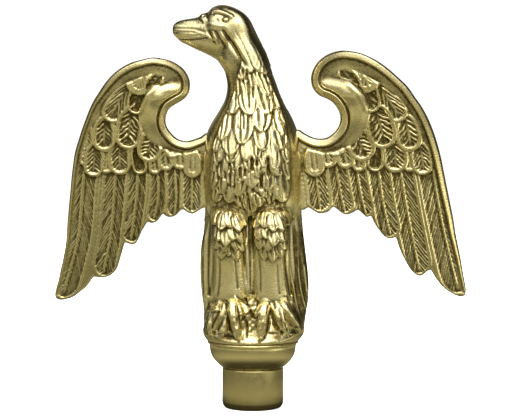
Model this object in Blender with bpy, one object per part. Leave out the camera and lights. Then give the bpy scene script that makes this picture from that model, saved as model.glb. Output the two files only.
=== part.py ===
"""Spread-wing eagle ornament for the top of a flagpole.

Frame: metres, +Z up the pole axis, origin on that axis at the open end of the
ferrule. The eagle's breast looks along -Y and the wings spread along X.

The eagle is a hollow casting in two halves that meet near y = 0. The wings are
separate cast plates whose tangs are trapped between the halves and pinned.
A stud runs from a nut on the rock's floor, down through the turned cup, to a
nut recessed in the cup's neck. The ferrule is pressed on that neck.
"""

import math

import bmesh
import bpy
import numpy as np

MM = 0.001

# ---- driving dimensions (mm) -------------------------------------------------
UNIT = 0.44            # one unit of the outline drawing
AXIS_U = 252.8         # drawing column of the pole axis
BASE_V = 406.7         # drawing row of the ferrule's open end
YAW = math.radians(6)  # the outline drawing is turned this far about the axis
GAP = 0.3              # fitting gap between neighbouring pieces

FERRULE_R = 13.5       # outside radius
FERRULE_BORE_R = 11.2  # takes a nominal 7/8 in pole (22.2 mm)
FERRULE_LEN = 17.9
FERRULE_LIP = 2.2      # height of the rounded outer edge at the open end
FERRULE_LIP_IN = 1.6   # how far that rounding runs inwards

CUP_RIM_R = 20.0
CUP_TOP = 29.5
NECK_R = FERRULE_BORE_R - GAP
NECK_BOTTOM = 12.0     # the pole butts against this face
NUT_POCKET_R = 6.9
NUT_POCKET_TOP = 19.6

STUD_R = 3.0
STUD_Z = (12.6, 44.0)
NUT_AF = 10.0
NUT_H = 5.0
WASHER_R = 6.2
WASHER_T = 1.0

FLOOR_Z = 29.8         # underside of the rock
FLOOR_T = 4.4
WALL = 3.6             # casting wall
SPLIT = 0.15           # each half stops this far from y = 0
WING_T = 2.8           # wing plate thickness
WING_ROOT_Y = 1.55     # mid-plane of the wing plates at the body
PIN_R = 0.9
PIN_X = 18.4
SCREW_R = 1.5
SCREW_HEAD_R = 2.9

# ---- outline drawing of the two wings (units) --------------------------------
WING_LEFT = [
    (219, 207), (219, 172), (219, 137), (209, 135), (200, 137), (190, 140.5), (178, 139), (169, 130),
    (165.5, 120), (168, 111), (176, 104), (186, 97), (190, 87), (187, 74),
    (177, 64), (162, 58.5), (146, 58.5), (130, 63), (112, 75), (99, 92),
    (90, 108), (82, 129), (75, 152), (71.5, 178), (69, 205), (66, 243),
    (60.5, 270), (55, 295), (60, 300), (73, 297), (87, 286), (94, 277),
    (106, 277), (116, 270), (121, 256), (125, 243), (136, 243), (142, 231),
    (148, 222), (157, 221), (163, 214), (171, 217), (180, 211), (188, 212.5),
    (200, 209.5), (209, 207),
]
WING_RIGHT = [
    (287, 137), (287, 172), (287, 207), (302, 210), (312, 209.5), (321, 213), (333, 207), (342, 213),
    (353, 212.5), (358, 210), (367, 217), (373, 217), (381, 232), (389, 238.5),
    (397, 239), (403, 257), (412, 272), (420, 276), (431, 271), (441, 285),
    (455, 295), (464, 296), (466, 289), (461, 260), (455, 230), (450, 202),
    (444, 172), (437, 142), (428, 118), (415, 97), (400, 79), (380, 62.5),
    (360, 53), (341, 50.5), (324, 56.5), (313, 70), (311.5, 83), (320, 96),
    (334, 104), (340, 115), (339, 126), (331, 135), (318, 138.5), (305, 133),
    (296, 132),
]


# ---- materials ---------------------------------------------------------------
def metal(name, colour, rough):
    m = bpy.data.materials.new(name)
    m.use_nodes = True
    p = m.node_tree.nodes["Principled BSDF"]
    p.inputs["Base Color"].default_value = (*colour, 1)
    p.inputs["Metallic"].default_value = 1.0
    p.inputs["Roughness"].default_value = rough
    m.diffuse_color = (*colour, 1)
    return m


# ---- mesh helpers ------------------------------------------------------------
def new_object(name, verts, faces, mat=None, smooth=False):
    me = bpy.data.meshes.new(name)
    me.from_pydata([tuple(c * MM for c in v) for v in verts], [], faces)
    me.validate()
    ob = bpy.data.objects.new(name, me)
    bpy.context.scene.collection.objects.link(ob)
    outward(ob)
    if mat:
        me.materials.append(mat)
    if smooth:
        for p in me.polygons:
            p.use_smooth = True
    return ob


def outward(ob):
    """Triangles only, so that no face is bent, all facing out."""
    bm = bmesh.new()
    bm.from_mesh(ob.data)
    bmesh.ops.triangulate(bm, faces=bm.faces)
    bmesh.ops.recalc_face_normals(bm, faces=bm.faces)
    if bm.calc_volume(signed=True) < 0:
        bmesh.ops.reverse_faces(bm, faces=bm.faces)
    bm.to_mesh(ob.data)
    bm.free()


def drop(ob):
    bpy.data.objects.remove(ob, do_unlink=True)


def apply(ob):
    bpy.context.view_layer.update()
    deps = bpy.context.evaluated_depsgraph_get()
    me = bpy.data.meshes.new_from_object(ob.evaluated_get(deps))
    ob.modifiers.clear()
    old = ob.data
    ob.data = me
    me.name = ob.name
    bpy.data.meshes.remove(old)


def combine(ob, other, how, keep=False):
    m = ob.modifiers.new("cut", "BOOLEAN")
    m.object = other
    m.operation = how
    m.solver = "EXACT"
    apply(ob)
    if not keep:
        drop(other)


def joined(name, obs):
    """One object holding every given closed shell."""
    bm = bmesh.new()
    for o in obs:
        bm.from_mesh(o.data)
    me = bpy.data.meshes.new(name)
    bm.to_mesh(me)
    bm.free()
    for o in obs:
        drop(o)
    ob = bpy.data.objects.new(name, me)
    bpy.context.scene.collection.objects.link(ob)
    return ob


def loft(name, rings, mat=None, smooth=False):
    """Closed skin over rings of equal length, capped by centre fans."""
    n = len(rings[0])
    verts = [p for r in rings for p in r]
    faces = []
    for i in range(len(rings) - 1):
        for j in range(n):
            k = (j + 1) % n
            faces.append((i * n + j, i * n + k, (i + 1) * n + k, (i + 1) * n + j))
    for at, flip in ((0, True), (len(rings) - 1, False)):
        c = len(verts)
        verts.append(tuple(np.mean(np.array(rings[at]), axis=0)))
        for j in range(n):
            k = (j + 1) % n
            tri = (at * n + j, at * n + k, c)
            faces.append(tri[::-1] if flip else tri)
    return new_object(name, verts, faces, mat, smooth)


def oval(z, cx, cy, ax, front, back, n=40, power=2.0):
    ring = []
    for j in range(n):
        t = 2 * math.pi * j / n
        c, s = math.cos(t), math.sin(t)
        x = math.copysign(abs(c) ** (2 / power), c) * ax
        d = back if s > 0 else front
        y = math.copysign(abs(s) ** (2 / power), s) * d
        ring.append((cx + x, cy + y, z))
    return ring


def spun(name, profile, seg, mat=None):
    """Solid of revolution about Z from a closed (radius, z) profile. A zero
    radius makes one shared point on the axis."""
    verts, faces, at = [], [], []
    for r, z in profile:
        if r == 0:
            at.append([len(verts)] * seg)
            verts.append((0, 0, z))
        else:
            at.append([len(verts) + j for j in range(seg)])
            verts += [(r * math.cos(2 * math.pi * j / seg), r * math.sin(2 * math.pi * j / seg), z)
                      for j in range(seg)]
    for i in range(len(profile)):
        h = (i + 1) % len(profile)
        if profile[i][0] == 0 and profile[h][0] == 0:
            continue
        for j in range(seg):
            k = (j + 1) % seg
            face = []
            for v in (at[i][j], at[i][k], at[h][k], at[h][j]):
                if v not in face:
                    face.append(v)
            faces.append(tuple(face))
    ob = new_object(name, verts, faces, mat, False)
    smooth_round(ob)
    return ob


def rod(name, a, b, ra, rb, n=14, mat=None, ends=True):
    """Tapered rod between two points, with domed ends when asked."""
    a, b = np.array(a, float), np.array(b, float)
    d = b - a
    length = np.linalg.norm(d)
    d /= length
    side = np.cross(d, (0, 0, 1) if abs(d[2]) < 0.9 else (0, 1, 0))
    side /= np.linalg.norm(side)
    up = np.cross(d, side)
    stations = []
    if ends:
        for t in (80, 50, 22):
            stations.append((-math.sin(math.radians(t)) * ra, math.cos(math.radians(t)) * ra))
        stations += [(0, ra), (length, rb)]
        for t in (22, 50, 80):
            stations.append((length + math.sin(math.radians(t)) * rb, math.cos(math.radians(t)) * rb))
    else:
        stations = [(0, ra), (length, rb)]
    rings = []
    for s, r in stations:
        rings.append([
            tuple(a + d * s + side * math.cos(2 * math.pi * j / n) * r + up * math.sin(2 * math.pi * j / n) * r)
            for j in range(n)
        ])
    return loft(name, rings, mat)


def ball(name, c, r, n=18, m=10, turn=0.0):
    rings = []
    for i in range(1, m):
        f = math.pi * i / m
        z = -math.cos(f) * r[2]
        q = math.sin(f)
        ring = []
        for j in range(n):
            t = 2 * math.pi * j / n
            x, y = math.cos(t) * q * r[0], math.sin(t) * q * r[1]
            ring.append((
                c[0] + x * math.cos(turn) + z * math.sin(turn),
                c[1] + y,
                c[2] - x * math.sin(turn) + z * math.cos(turn),
            ))
        rings.append(ring)
    return loft(name, rings)


def smooth_round(ob, angle=35):
    me = ob.data
    for p in me.polygons:
        p.use_smooth = True
    bm = bmesh.new()
    bm.from_mesh(me)
    for e in bm.edges:
        if len(e.link_faces) == 2 and e.calc_face_angle(0) > math.radians(angle):
            e.smooth = False
    bm.to_mesh(me)
    bm.free()


# ---- wings -------------------------------------------------------------------
def curve(points, per=3):
    """Closed Catmull-Rom curve through the outline points."""
    p = np.array(points, float)
    n = len(p)
    out = []
    for i in range(n):
        a, b, c, d = p[i - 1], p[i], p[(i + 1) % n], p[(i + 2) % n]
        for s in range(per):
            t = s / per
            out.append(0.5 * (2 * b + (c - a) * t + (2 * a - 5 * b + 4 * c - d) * t * t
                              + (3 * b - a - 3 * c + d) * t ** 3))
    return np.array(out)


def sweep(u, z):
    """Depth of a wing's mid-plane. Wrists come forward, primaries trail back."""
    s = min(max((abs(u) - 22) / 34, 0), 1)
    s = s * s * (3 - 2 * s)
    return WING_ROOT_Y + s * ((106 - z) * 0.27 + 2.0)


def wing(name, outline, mat, per=2, thick=WING_T, grow=0.0, detail=True):
    """Plate cut from its outline and bent to its swept depth."""
    pts = curve(outline, per)
    us = (pts[:, 0] - AXIS_U) * UNIT
    zs = (BASE_V - pts[:, 1]) * UNIT
    if grow:
        du = np.roll(us, -1) - np.roll(us, 1)
        dz = np.roll(zs, -1) - np.roll(zs, 1)
        turn = math.copysign(1, np.sum(us * np.roll(zs, -1) - np.roll(us, -1) * zs))
        size = np.hypot(du, dz)
        us, zs = us + turn * dz / size * grow, zs - turn * du / size * grow
    bm = bmesh.new()
    ring = [bm.verts.new((u, 0, z)) for u, z in zip(us, zs)]
    bm.faces.new(ring)
    step = 6.0 if detail else 12.0
    for axis, lo, hi in ((0, us.min(), us.max()), (2, zs.min(), zs.max())):
        at = lo + step * 0.6
        while at < hi:
            co, no = [0, 0, 0], [0, 0, 0]
            co[axis], no[axis] = at, 1
            geom = bm.verts[:] + bm.edges[:] + bm.faces[:]
            bmesh.ops.bisect_plane(bm, geom=geom, plane_co=co, plane_no=no, dist=0.02)
            at += step
    bmesh.ops.remove_doubles(bm, verts=bm.verts, dist=0.15)
    bmesh.ops.triangulate(bm, faces=bm.faces)
    bm.verts.ensure_lookup_table()
    n = len(bm.verts)
    flat = [(v.co.x, v.co.z) for v in bm.verts]
    tris = [tuple(v.index for v in f.verts) for f in bm.faces]
    rim = [(e.verts[0].index, e.verts[1].index) for e in bm.edges if len(e.link_faces) == 1]
    bm.free()
    verts = []
    for side in (-1, 1):
        for u, z in flat:
            y = sweep(u, z)
            x = (u - y * math.sin(YAW)) / math.cos(YAW)
            verts.append((x, y + side * (thick / 2 + grow), z))
    faces = [t for t in tris] + [tuple(i + n for i in t[::-1]) for t in tris]
    for a, b in rim:
        faces.append((a, b, b + n))
        faces.append((a, b + n, a + n))
    ob = new_object(name, verts, faces, mat)
    return ob


# ---- eagle body ---------------------------------------------------------------
def eagle_blank():
    """The whole bird and rock as one rounded blank, before it is split."""
    parts = []
    # rock, with its top falling towards the edge
    parts.append(loft("rock", [
        oval(28.0, 0, 0, 20.4, 17.8, 17.6), oval(31.2, 0, 0, 21.9, 19.2, 18.4),
        oval(34.5, 0, 0, 22.5, 20.2, 18.6), oval(38.5, 0, 0, 22.0, 20.4, 18.4),
        oval(42.0, 0, 0, 21.4, 19.6, 17.6), oval(45.0, 0, 0, 19.4, 17.4, 16.0),
        oval(47.0, 0, 0, 15.0, 13.0, 12.5)]))
    # tail and trailing back feathers wrap behind the legs
    parts.append(loft("tail", [
        oval(33.0, 0, 3, 20.5, 4.0, 14.8, power=2.6), oval(37.0, 0, 3, 22.4, 5.0, 16.8, power=2.6),
        oval(44.0, 0, 3, 23.2, 6.0, 17.6, power=2.5), oval(52.0, 0, 3, 23.7, 6.5, 17.6, power=2.4),
        oval(60.0, 0, 3, 23.6, 7.0, 16.6, power=2.4), oval(69.0, 0, 3, 22.6, 8.0, 15.4, power=2.3),
        oval(78.0, 0, 2, 21.6, 9.0, 14.8, power=2.2), oval(86.0, 0, 1, 21.0, 9.0, 15.0)]))
    # torso up to the root of the neck
    parts.append(loft("torso", [
        oval(72.0, 0, -1, 12.0, 9.0, 10.0), oval(77.0, 0, -1, 17.6, 13.6, 15.0),
        oval(83.0, 0, -1, 20.2, 16.4, 16.2), oval(91.0, 0, -1, 21.2, 18.4, 16.6),
        oval(100.0, 0, -1, 21.8, 19.6, 16.8), oval(109.0, 0, -1, 22.0, 19.8, 16.6),
        oval(116.0, 0, -1, 21.4, 18.8, 15.8), oval(122.0, 0, -1, 19.0, 16.6, 14.4),
        oval(127.5, 0.6, -1, 16.4, 14.4, 12.8), oval(133.0, 0.6, -1, 13.6, 12.4, 11.4),
        oval(138.5, 0.2, -1, 11.6, 11.2, 10.6), oval(143.5, -0.7, -1, 10.7, 10.4, 10.0),
        oval(148.0, -2.3, -1, 10.4, 9.8, 9.6), oval(152.5, -4.2, -1, 10.8, 9.4, 9.2),
        oval(157.0, -6.2, -1, 11.6, 9.2, 9.0), oval(161.0, -7.6, -1, 12.0, 9.0, 8.8),
        oval(165.0, -9.2, -1, 11.8, 8.4, 8.2), oval(168.6, -10.8, -1, 10.6, 7.2, 7.0),
        oval(171.6, -12.0, -1, 8.6, 5.4, 5.2), oval(174.2, -13.2, -1, 5.6, 3.4, 3.2),
        oval(176.0, -14.0, -1, 2.6, 1.8, 1.6)]))
    # face and hooked beak, along -X
    parts.append(loft("beak", [
        [(x, -1 + w * math.cos(t), z + h * math.sin(t)) for t in (2 * math.pi * j / 20 for j in range(20))]
        for x, z, w, h in ((-12.0, 162.6, 7.4, 8.4), (-16.5, 162.8, 6.6, 8.2), (-20.0, 163.2, 5.6, 7.4),
                           (-23.5, 163.4, 4.6, 6.4), (-27.0, 163.8, 3.9, 5.6), (-30.0, 164.2, 3.2, 4.9),
                           (-32.6, 164.8, 2.4, 3.6), (-34.4, 165.2, 1.5, 2.2), (-35.5, 165.4, 0.6, 0.9))]))
    for side in (-1, 1):
        # brow ridges
        parts.append(rod("brow", (-19.5, -1 + side * 6.2, 172.3), (-7.0, -1 + side * 8.0, 168.2), 1.4, 1.9))
        # thighs, shanks, feet
        parts.append(ball("thigh", (side * 10.4, -9.0, 80.0), (10.4, 10.8, 13.5)))
        parts.append(rod("shank", (side * 10.6, -8.6, 74.0), (side * 10.0, -10.4, 48.5), 9.0, 6.0, 16))
        parts.append(ball("foot", (side * 9.6, -12.0, 46.5), (6.2, 6.0, 4.6)))
        for dx, dy, dz, r in ((-7.0, -4.2, -11.5, 2.4), (-1.2, -8.2, -13.0, 2.6), (5.0, -7.6, -12.0, 2.4)):
            knuckle = (side * (9.6 + dx * 0.55), -14.0 + dy * 0.75, 46.0 + dz * 0.35)
            tip = (side * (9.6 + dx), -12.0 + dy, 46.0 + dz)
            parts.append(rod("toe_a", (side * 9.6, -11.5, 46.5), knuckle, 3.0, r + 0.3, 12))
            parts.append(rod("toe_b", knuckle, tip, r + 0.2, 1.2, 12))
    body = joined("eagle_blank", parts)
    m = body.modifiers.new("skin", "REMESH")
    m.mode = "VOXEL"
    m.voxel_size = 0.75 * MM
    apply(body)
    m = body.modifiers.new("even", "CORRECTIVE_SMOOTH")
    m.factor, m.iterations, m.smooth_type, m.use_only_smooth = 0.5, 3, "SIMPLE", True
    apply(body)
    return body


def cavity():
    """Space inside the casting, with solid posts left for the two screws."""
    rings = [
        oval(FLOOR_Z + FLOOR_T, 0, 0, 17.0, 13.4, 13.0, 28), oval(39.0, 0, 0, 18.0, 11.0, 13.6, 28),
        oval(45.0, 0, 1, 18.8, 5.4, 14.0, 28), oval(49.0, 0, 1, 19.2, 2.4, 14.2, 28),
        oval(56.0, 0, 1, 19.4, 2.0, 14.0, 28), oval(68.0, 0, 1, 18.4, 3.0, 12.4, 28),
        oval(76.0, 0, 0, 17.0, 6.6, 11.6, 28),
        oval(86.0, 0, -1, 17.0, 12.8, 12.4, 28), oval(98.0, 0, -1, 17.8, 15.2, 12.8, 28),
        oval(110.0, 0, -1, 18.0, 15.6, 12.6, 28), oval(119.0, 0, -1, 16.0, 13.4, 11.0, 28),
        oval(128.0, 0.5, -1, 12.0, 10.2, 8.8, 28), oval(138.0, 0.2, -1, 7.8, 7.4, 6.8, 28),
        oval(148.0, -2.3, -1, 6.6, 6.0, 5.8, 28), oval(157.0, -6.0, -1, 7.2, 5.4, 5.2, 28),
        oval(164.0, -8.4, -1, 6.6, 4.2, 4.0, 28)]
    hollow = loft("cavity", rings)
    for z in SCREW_Z:
        combine(hollow, rod("post", (0, -30, z), (0, 30, z), 4.0, 4.0, 16, ends=False), "DIFFERENCE")
    return hollow


SCREW_Z = (84.0, 112.0)
SCREW_TIP_Y = -9.0
SCREW_HEAD_Y = 10.5    # underside of the heads, sunk in the back casting


def slab(name, y0, y1, z1=200):
    x, z0 = 60, 0
    v = [(-x, y0, z0), (x, y0, z0), (x, y1, z0), (-x, y1, z0),
         (-x, y0, z1), (x, y0, z1), (x, y1, z1), (-x, y1, z1)]
    f = [(0, 3, 2, 1), (4, 5, 6, 7), (0, 1, 5, 4), (1, 2, 6, 5), (2, 3, 7, 6), (3, 0, 4, 7)]
    return new_object(name, v, f)


def tidy(ob, faces, mat):
    m = ob.modifiers.new("fewer", "DECIMATE")
    m.ratio = min(1.0, faces / max(1, sum(len(p.vertices) - 2 for p in ob.data.polygons)))
    m.use_collapse_triangulate = True
    apply(ob)


def clean(ob, mat):
    bm = bmesh.new()
    bm.from_mesh(ob.data)
    bmesh.ops.remove_doubles(bm, verts=bm.verts, dist=0.000002)
    bmesh.ops.dissolve_degenerate(bm, edges=bm.edges, dist=0.000002)
    bmesh.ops.triangulate(bm, faces=bm.faces)
    bmesh.ops.recalc_face_normals(bm, faces=bm.faces)
    bm.to_mesh(ob.data)
    bm.free()
    ob.data.materials.clear()
    ob.data.materials.append(mat)
    smooth_round(ob, 50)


def cylinder_y(name, x, z, y0, y1, r, n=14, mat=None):
    return rod(name, (x, y0, z), (x, y1, z), r, r, n, mat, ends=False)


def nut(name, z0, mat):
    seg = 24
    hexr = NUT_AF / math.sqrt(3)
    outer, inner = [], []
    for j in range(seg):
        t = 2 * math.pi * j / seg
        f = (t + math.pi / 6) % (math.pi / 3) - math.pi / 6
        r = NUT_AF / 2 / math.cos(f)
        outer.append((r * math.cos(t), r * math.sin(t), r / hexr))
        inner.append(((STUD_R + GAP) * math.cos(t), (STUD_R + GAP) * math.sin(t)))
    verts, faces = [], []
    for z, k in ((z0, 0), (z0 + NUT_H, 1)):
        for x, y, q in outer:
            verts.append((x, y, z))
        for x, y in inner:
            verts.append((x, y, z))
    s = seg
    for j in range(s):
        k = (j + 1) % s
        faces += [(j, k, 2 * s + k, 2 * s + j), (s + j, 3 * s + j, 3 * s + k, s + k),
                  (j, s + j, s + k, k), (2 * s + j, 2 * s + k, 3 * s + k, 3 * s + j)]
    return new_object(name, verts, faces, mat)


def washer(name, z0, mat):
    r0 = STUD_R + GAP
    return spun(name, [(r0, z0), (WASHER_R, z0), (WASHER_R, z0 + WASHER_T), (r0, z0 + WASHER_T)], 24, mat)


def main():
    for ob in list(bpy.data.objects):
        bpy.data.objects.remove(ob, do_unlink=True)
    gold = metal("gold_plate", (0.72, 0.62, 0.30), 0.22)
    gold_satin = metal("gold_satin", (0.70, 0.62, 0.33), 0.34)
    steel = metal("zinc_steel", (0.62, 0.62, 0.60), 0.35)

    # eagle: blank, split, hollowed
    blank = eagle_blank()
    tidy(blank, 3600, gold)
    clean(blank, gold)
    hollow = cavity()
    combine(blank, slab("base_cut", -40, 40, FLOOR_Z), "DIFFERENCE")
    combine(blank, hollow, "DIFFERENCE")

    wings = [wing("wing_left", WING_LEFT, gold), wing("wing_right", WING_RIGHT, gold)]

    front, back = blank, blank.copy()
    back.data = blank.data.copy()
    bpy.context.scene.collection.objects.link(back)
    front.name, back.name = "eagle_front", "eagle_back"
    combine(front, slab("s", -SPLIT, 60), "DIFFERENCE")
    combine(back, slab("s", -60, SPLIT), "DIFFERENCE")
    through = spun("through", [(0, 20), (STUD_R + 0.4, 20), (STUD_R + 0.4, 37), (0, 37)], 20)
    combine(front, through, "DIFFERENCE", keep=True)
    combine(back, through, "DIFFERENCE")
    for outline in (WING_LEFT, WING_RIGHT):
        combine(back, wing("pocket", outline, None, 2, WING_T, GAP), "DIFFERENCE")

    # pins that lock each tang, and screws that close the casting
    pins = []
    for side, word in ((-1, "left"), (1, "right")):
        for z, level in ((92.0, "lower"), (114.0, "upper")):
            pin = cylinder_y(f"wing_pin_{word}_{level}", side * PIN_X, z, -5.0, 8.6, PIN_R, 12, steel)
            hole = cylinder_y("hole", side * PIN_X, z, -5.4, 9.0, PIN_R + GAP, 12)
            for ob in (front, back, wings[0 if side < 0 else 1]):
                combine(ob, hole, "DIFFERENCE", keep=True)
            drop(hole)
            pins.append(pin)
    for z, level in zip(SCREW_Z, ("lower", "upper")):
        hole = cylinder_y("hole", 0, z, SCREW_TIP_Y - 0.4, 30, SCREW_R + GAP, 16)
        combine(front, hole, "DIFFERENCE", keep=True)
        combine(back, hole, "DIFFERENCE")
        combine(back, cylinder_y("head", 0, z, SCREW_HEAD_Y - 0.3, 30, SCREW_HEAD_R + 0.4, 20), "DIFFERENCE")
        screw = spun(f"body_screw_{level}", [
            (0, SCREW_TIP_Y), (SCREW_R * 0.6, SCREW_TIP_Y), (SCREW_R, SCREW_TIP_Y + 1.6),
            (SCREW_R, SCREW_HEAD_Y), (SCREW_HEAD_R, SCREW_HEAD_Y), (SCREW_HEAD_R, SCREW_HEAD_Y + 1.4),
            (SCREW_HEAD_R * 0.72, SCREW_HEAD_Y + 2.2), (1.1, SCREW_HEAD_Y + 2.2), (1.1, SCREW_HEAD_Y + 1.2),
            (0, SCREW_HEAD_Y + 1.2)], 16, steel)
        stand_along_y(screw, z)
    for ob in (front, back, *wings):
        clean(ob, gold)

    # turned cup with the neck that fills the ferrule's top
    r0 = STUD_R + 0.4
    spun("neck_cup", [
        (NUT_POCKET_R, NECK_BOTTOM), (NECK_R, NECK_BOTTOM), (NECK_R, FERRULE_LEN + GAP),
        (13.2, FERRULE_LEN + GAP), (14.6, 18.9), (16.4, 20.5), (17.8, 22.2), (18.8, 24.1), (19.3, 25.7),
        (18.9, 26.1), (19.5, 26.5), (CUP_RIM_R, 27.2), (CUP_RIM_R, 28.6), (19.6, CUP_TOP),
        (14.6, CUP_TOP), (14.0, 27.0), (11.6, 25.0), (r0, 24.4), (r0, NUT_POCKET_TOP),
        (NUT_POCKET_R, NUT_POCKET_TOP)], 48, gold_satin)

    # ferrule tube
    lip = [(FERRULE_R - FERRULE_LIP_IN * (1 - math.sin(math.radians(t))),
            FERRULE_LIP * (1 - math.cos(math.radians(t)))) for t in (0, 22.5, 45, 67.5, 90)]
    spun("ferrule_tube", [(FERRULE_BORE_R, 0.0), *lip, (FERRULE_R, FERRULE_LEN - 0.4),
                          (FERRULE_R - 0.4, FERRULE_LEN), (FERRULE_BORE_R, FERRULE_LEN)], 48, gold_satin)

    # stud with a nut and washer at each end
    z0, z1 = STUD_Z
    spun("tie_stud", [(0, z0), (STUD_R - 0.6, z0), (STUD_R, z0 + 0.6), (STUD_R, z1 - 0.6),
                      (STUD_R - 0.6, z1), (0, z1)], 20, steel)
    washer("washer_lower", NUT_POCKET_TOP - GAP - WASHER_T, steel)
    nut("nut_lower", NUT_POCKET_TOP - 2 * GAP - WASHER_T - NUT_H, steel)
    washer("washer_upper", FLOOR_Z + FLOOR_T + GAP, steel)
    nut("nut_upper", FLOOR_Z + FLOOR_T + 2 * GAP + WASHER_T, steel)


def stand_along_y(ob, z):
    """Turn a solid spun about Z so that its axis lies along Y at height z."""
    for v in ob.data.vertices:
        x, y, h = v.co
        v.co = (x, h, z * MM - y)


main()
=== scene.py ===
"""Looks for the spread-wing eagle that tops a flagpole.

The eagle is drawn on an elevation sheet (columns to the right, rows down,
0.44 mm per unit at the pole axis) and every drawn point is carried to a depth
in the row frame. Wings and body get their feathers as real relief.
"""

import math

import bmesh
import bpy
import numpy as np
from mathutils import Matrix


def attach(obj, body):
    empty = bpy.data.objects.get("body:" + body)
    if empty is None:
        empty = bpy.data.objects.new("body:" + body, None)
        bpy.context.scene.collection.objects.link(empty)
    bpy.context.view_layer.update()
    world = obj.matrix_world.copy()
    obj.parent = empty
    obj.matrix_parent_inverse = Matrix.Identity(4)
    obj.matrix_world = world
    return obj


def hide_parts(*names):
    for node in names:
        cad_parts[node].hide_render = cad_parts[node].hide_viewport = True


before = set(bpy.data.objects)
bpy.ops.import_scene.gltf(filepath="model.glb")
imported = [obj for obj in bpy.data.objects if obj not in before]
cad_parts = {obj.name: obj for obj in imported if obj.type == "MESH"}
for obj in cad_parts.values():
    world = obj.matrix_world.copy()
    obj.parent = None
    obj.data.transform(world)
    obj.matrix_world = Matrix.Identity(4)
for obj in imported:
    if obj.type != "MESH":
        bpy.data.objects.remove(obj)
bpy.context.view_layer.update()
MM = 0.001

# ------------------------------------------------------------------ camera ----
AZ, EL, DIST = math.radians(6), math.radians(4.5), 1000.0
UNIT = 0.44
AIM = np.array([3.2086, 0.0, 88.362])
EYE = AIM + DIST * np.array([math.sin(AZ) * math.cos(EL), -math.cos(AZ) * math.cos(EL), math.sin(EL)])
FWD = (AIM - EYE) / DIST
RIGHT = np.cross(FWD, (0, 0, 1))
RIGHT /= np.linalg.norm(RIGHT)
UP = np.cross(RIGHT, FWD)
FOCAL = DIST / UNIT          # in drawing units
MID = (260.0, 208.0)


def place(u, v, y):
    """Drawn point (u, v) at depth y (mm) as x, y, z in mm."""
    u, v, y = np.broadcast_arrays(np.asarray(u, float), np.asarray(v, float), np.asarray(y, float))
    ray = FWD + ((u - MID[0]) / FOCAL)[..., None] * RIGHT - ((v - MID[1]) / FOCAL)[..., None] * UP
    t = (y - EYE[1]) / ray[..., 1]
    return EYE + ray * t[..., None]


def draw(p):
    """x, y, z in mm back to the drawing."""
    d = p - EYE
    t = d @ FWD
    return MID[0] + FOCAL * (d @ RIGHT) / t, MID[1] - FOCAL * (d @ UP) / t


# ----------------------------------------------------------------- drawing ----
WING_RIGHT = [
    (287, 134), (287, 172), (287, 205), (302, 210), (308, 207.5), (312, 209.5), (318, 213), (324, 213), (329, 211), (333, 207),
    (337, 209), (342, 213), (347, 214.5), (353, 212.5), (358, 210), (363, 214), (367, 217), (371, 216),
    (374, 222), (379, 230), (384, 236), (389, 238.5), (393, 238), (396, 238), (398, 244), (401, 252),
    (406, 262), (411, 270), (416, 274.5), (420, 276), (424, 274), (430, 270), (435, 277), (441, 285),
    (448, 291), (455, 295), (461, 296.5), (465, 295), (466, 290), (465, 283), (463, 272), (461, 260),
    (458, 245), (455, 230), (453, 217), (450, 202), (447, 187), (444, 172), (441, 157), (437, 142),
    (433, 130), (428, 118), (422, 107), (415, 97), (408, 87), (400, 79), (390, 70), (380, 62.5),
    (370, 57), (360, 53), (350, 51), (341, 50.5), (332, 52.5), (324, 56.5), (317, 63), (312.5, 71),
    (311, 78), (312, 86), (315, 91.5), (320, 96), (326, 98.5), (332, 102), (337, 108), (340, 115),
    (340, 122), (337, 129), (331, 135), (325, 138), (318, 138.5), (312, 137), (305, 133.5), (297.5, 129.5),
]
WING_LEFT = [
    (219, 205), (219, 172), (219, 137), (207, 133), (200, 137), (190, 140.5), (185, 141), (178, 139), (172, 134), (167, 127),
    (165.5, 120), (167, 113), (170, 108), (176, 104), (182, 100.5), (186, 97), (189, 92), (190, 86),
    (189.5, 80), (187, 74), (183, 68.5), (177, 64), (170, 60.5), (162, 58.5), (152, 57.5), (140, 60),
    (130, 63), (120, 68.5), (112, 75), (105, 83), (99, 92), (94, 100), (90, 108), (86, 118), (82, 129),
    (78.5, 140), (75, 152), (73, 165), (71.5, 178), (70.5, 190), (69, 205), (68, 217), (67, 230),
    (66, 243), (64.5, 252), (62.5, 262), (60.5, 270), (58.5, 280), (56, 289), (55, 295), (57, 299),
    (62, 300), (67, 299), (73, 297), (80, 292), (87, 286), (92, 279), (94, 277), (100, 277.5),
    (106, 277), (111, 275), (116, 270), (119, 263), (121, 256), (123, 249), (125, 243), (128, 243.5),
    (132, 244.5), (136, 243), (139, 238), (142, 231), (146, 224), (148, 222), (152, 223), (157, 221),
    (161, 216), (163, 214), (167, 216.5), (171, 217), (176, 215), (180, 211), (183, 209.5),
    (188, 212.5), (193, 213.5), (197, 211.5), (200, 209.5), (205, 207.5),
]
# same landmark on the right wing and on the left wing
MATCH = [
    ((463, 294), (58, 298)), ((430, 270), (94, 277)), ((397, 239), (125, 243)), ((372, 217), (147, 222)),
    ((358, 210), (163, 214)), ((334, 207), (183, 209.5)), ((302, 210), (203, 208)), ((318, 138.5), (187, 141)),
    ((340, 118), (166, 120)), ((311, 80), (190, 84)), ((343, 50.5), (158, 57.5)), ((400, 79), (105, 83)),
    ((437, 142), (78.5, 140)), ((450, 202), (69, 205)), ((460, 255), (64, 255)), ((300, 128), (205, 133)),
    ((420, 276), (103, 277.5)), ((375, 60), (130, 63)), ((390, 239), (132, 244.5)),
]


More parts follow.
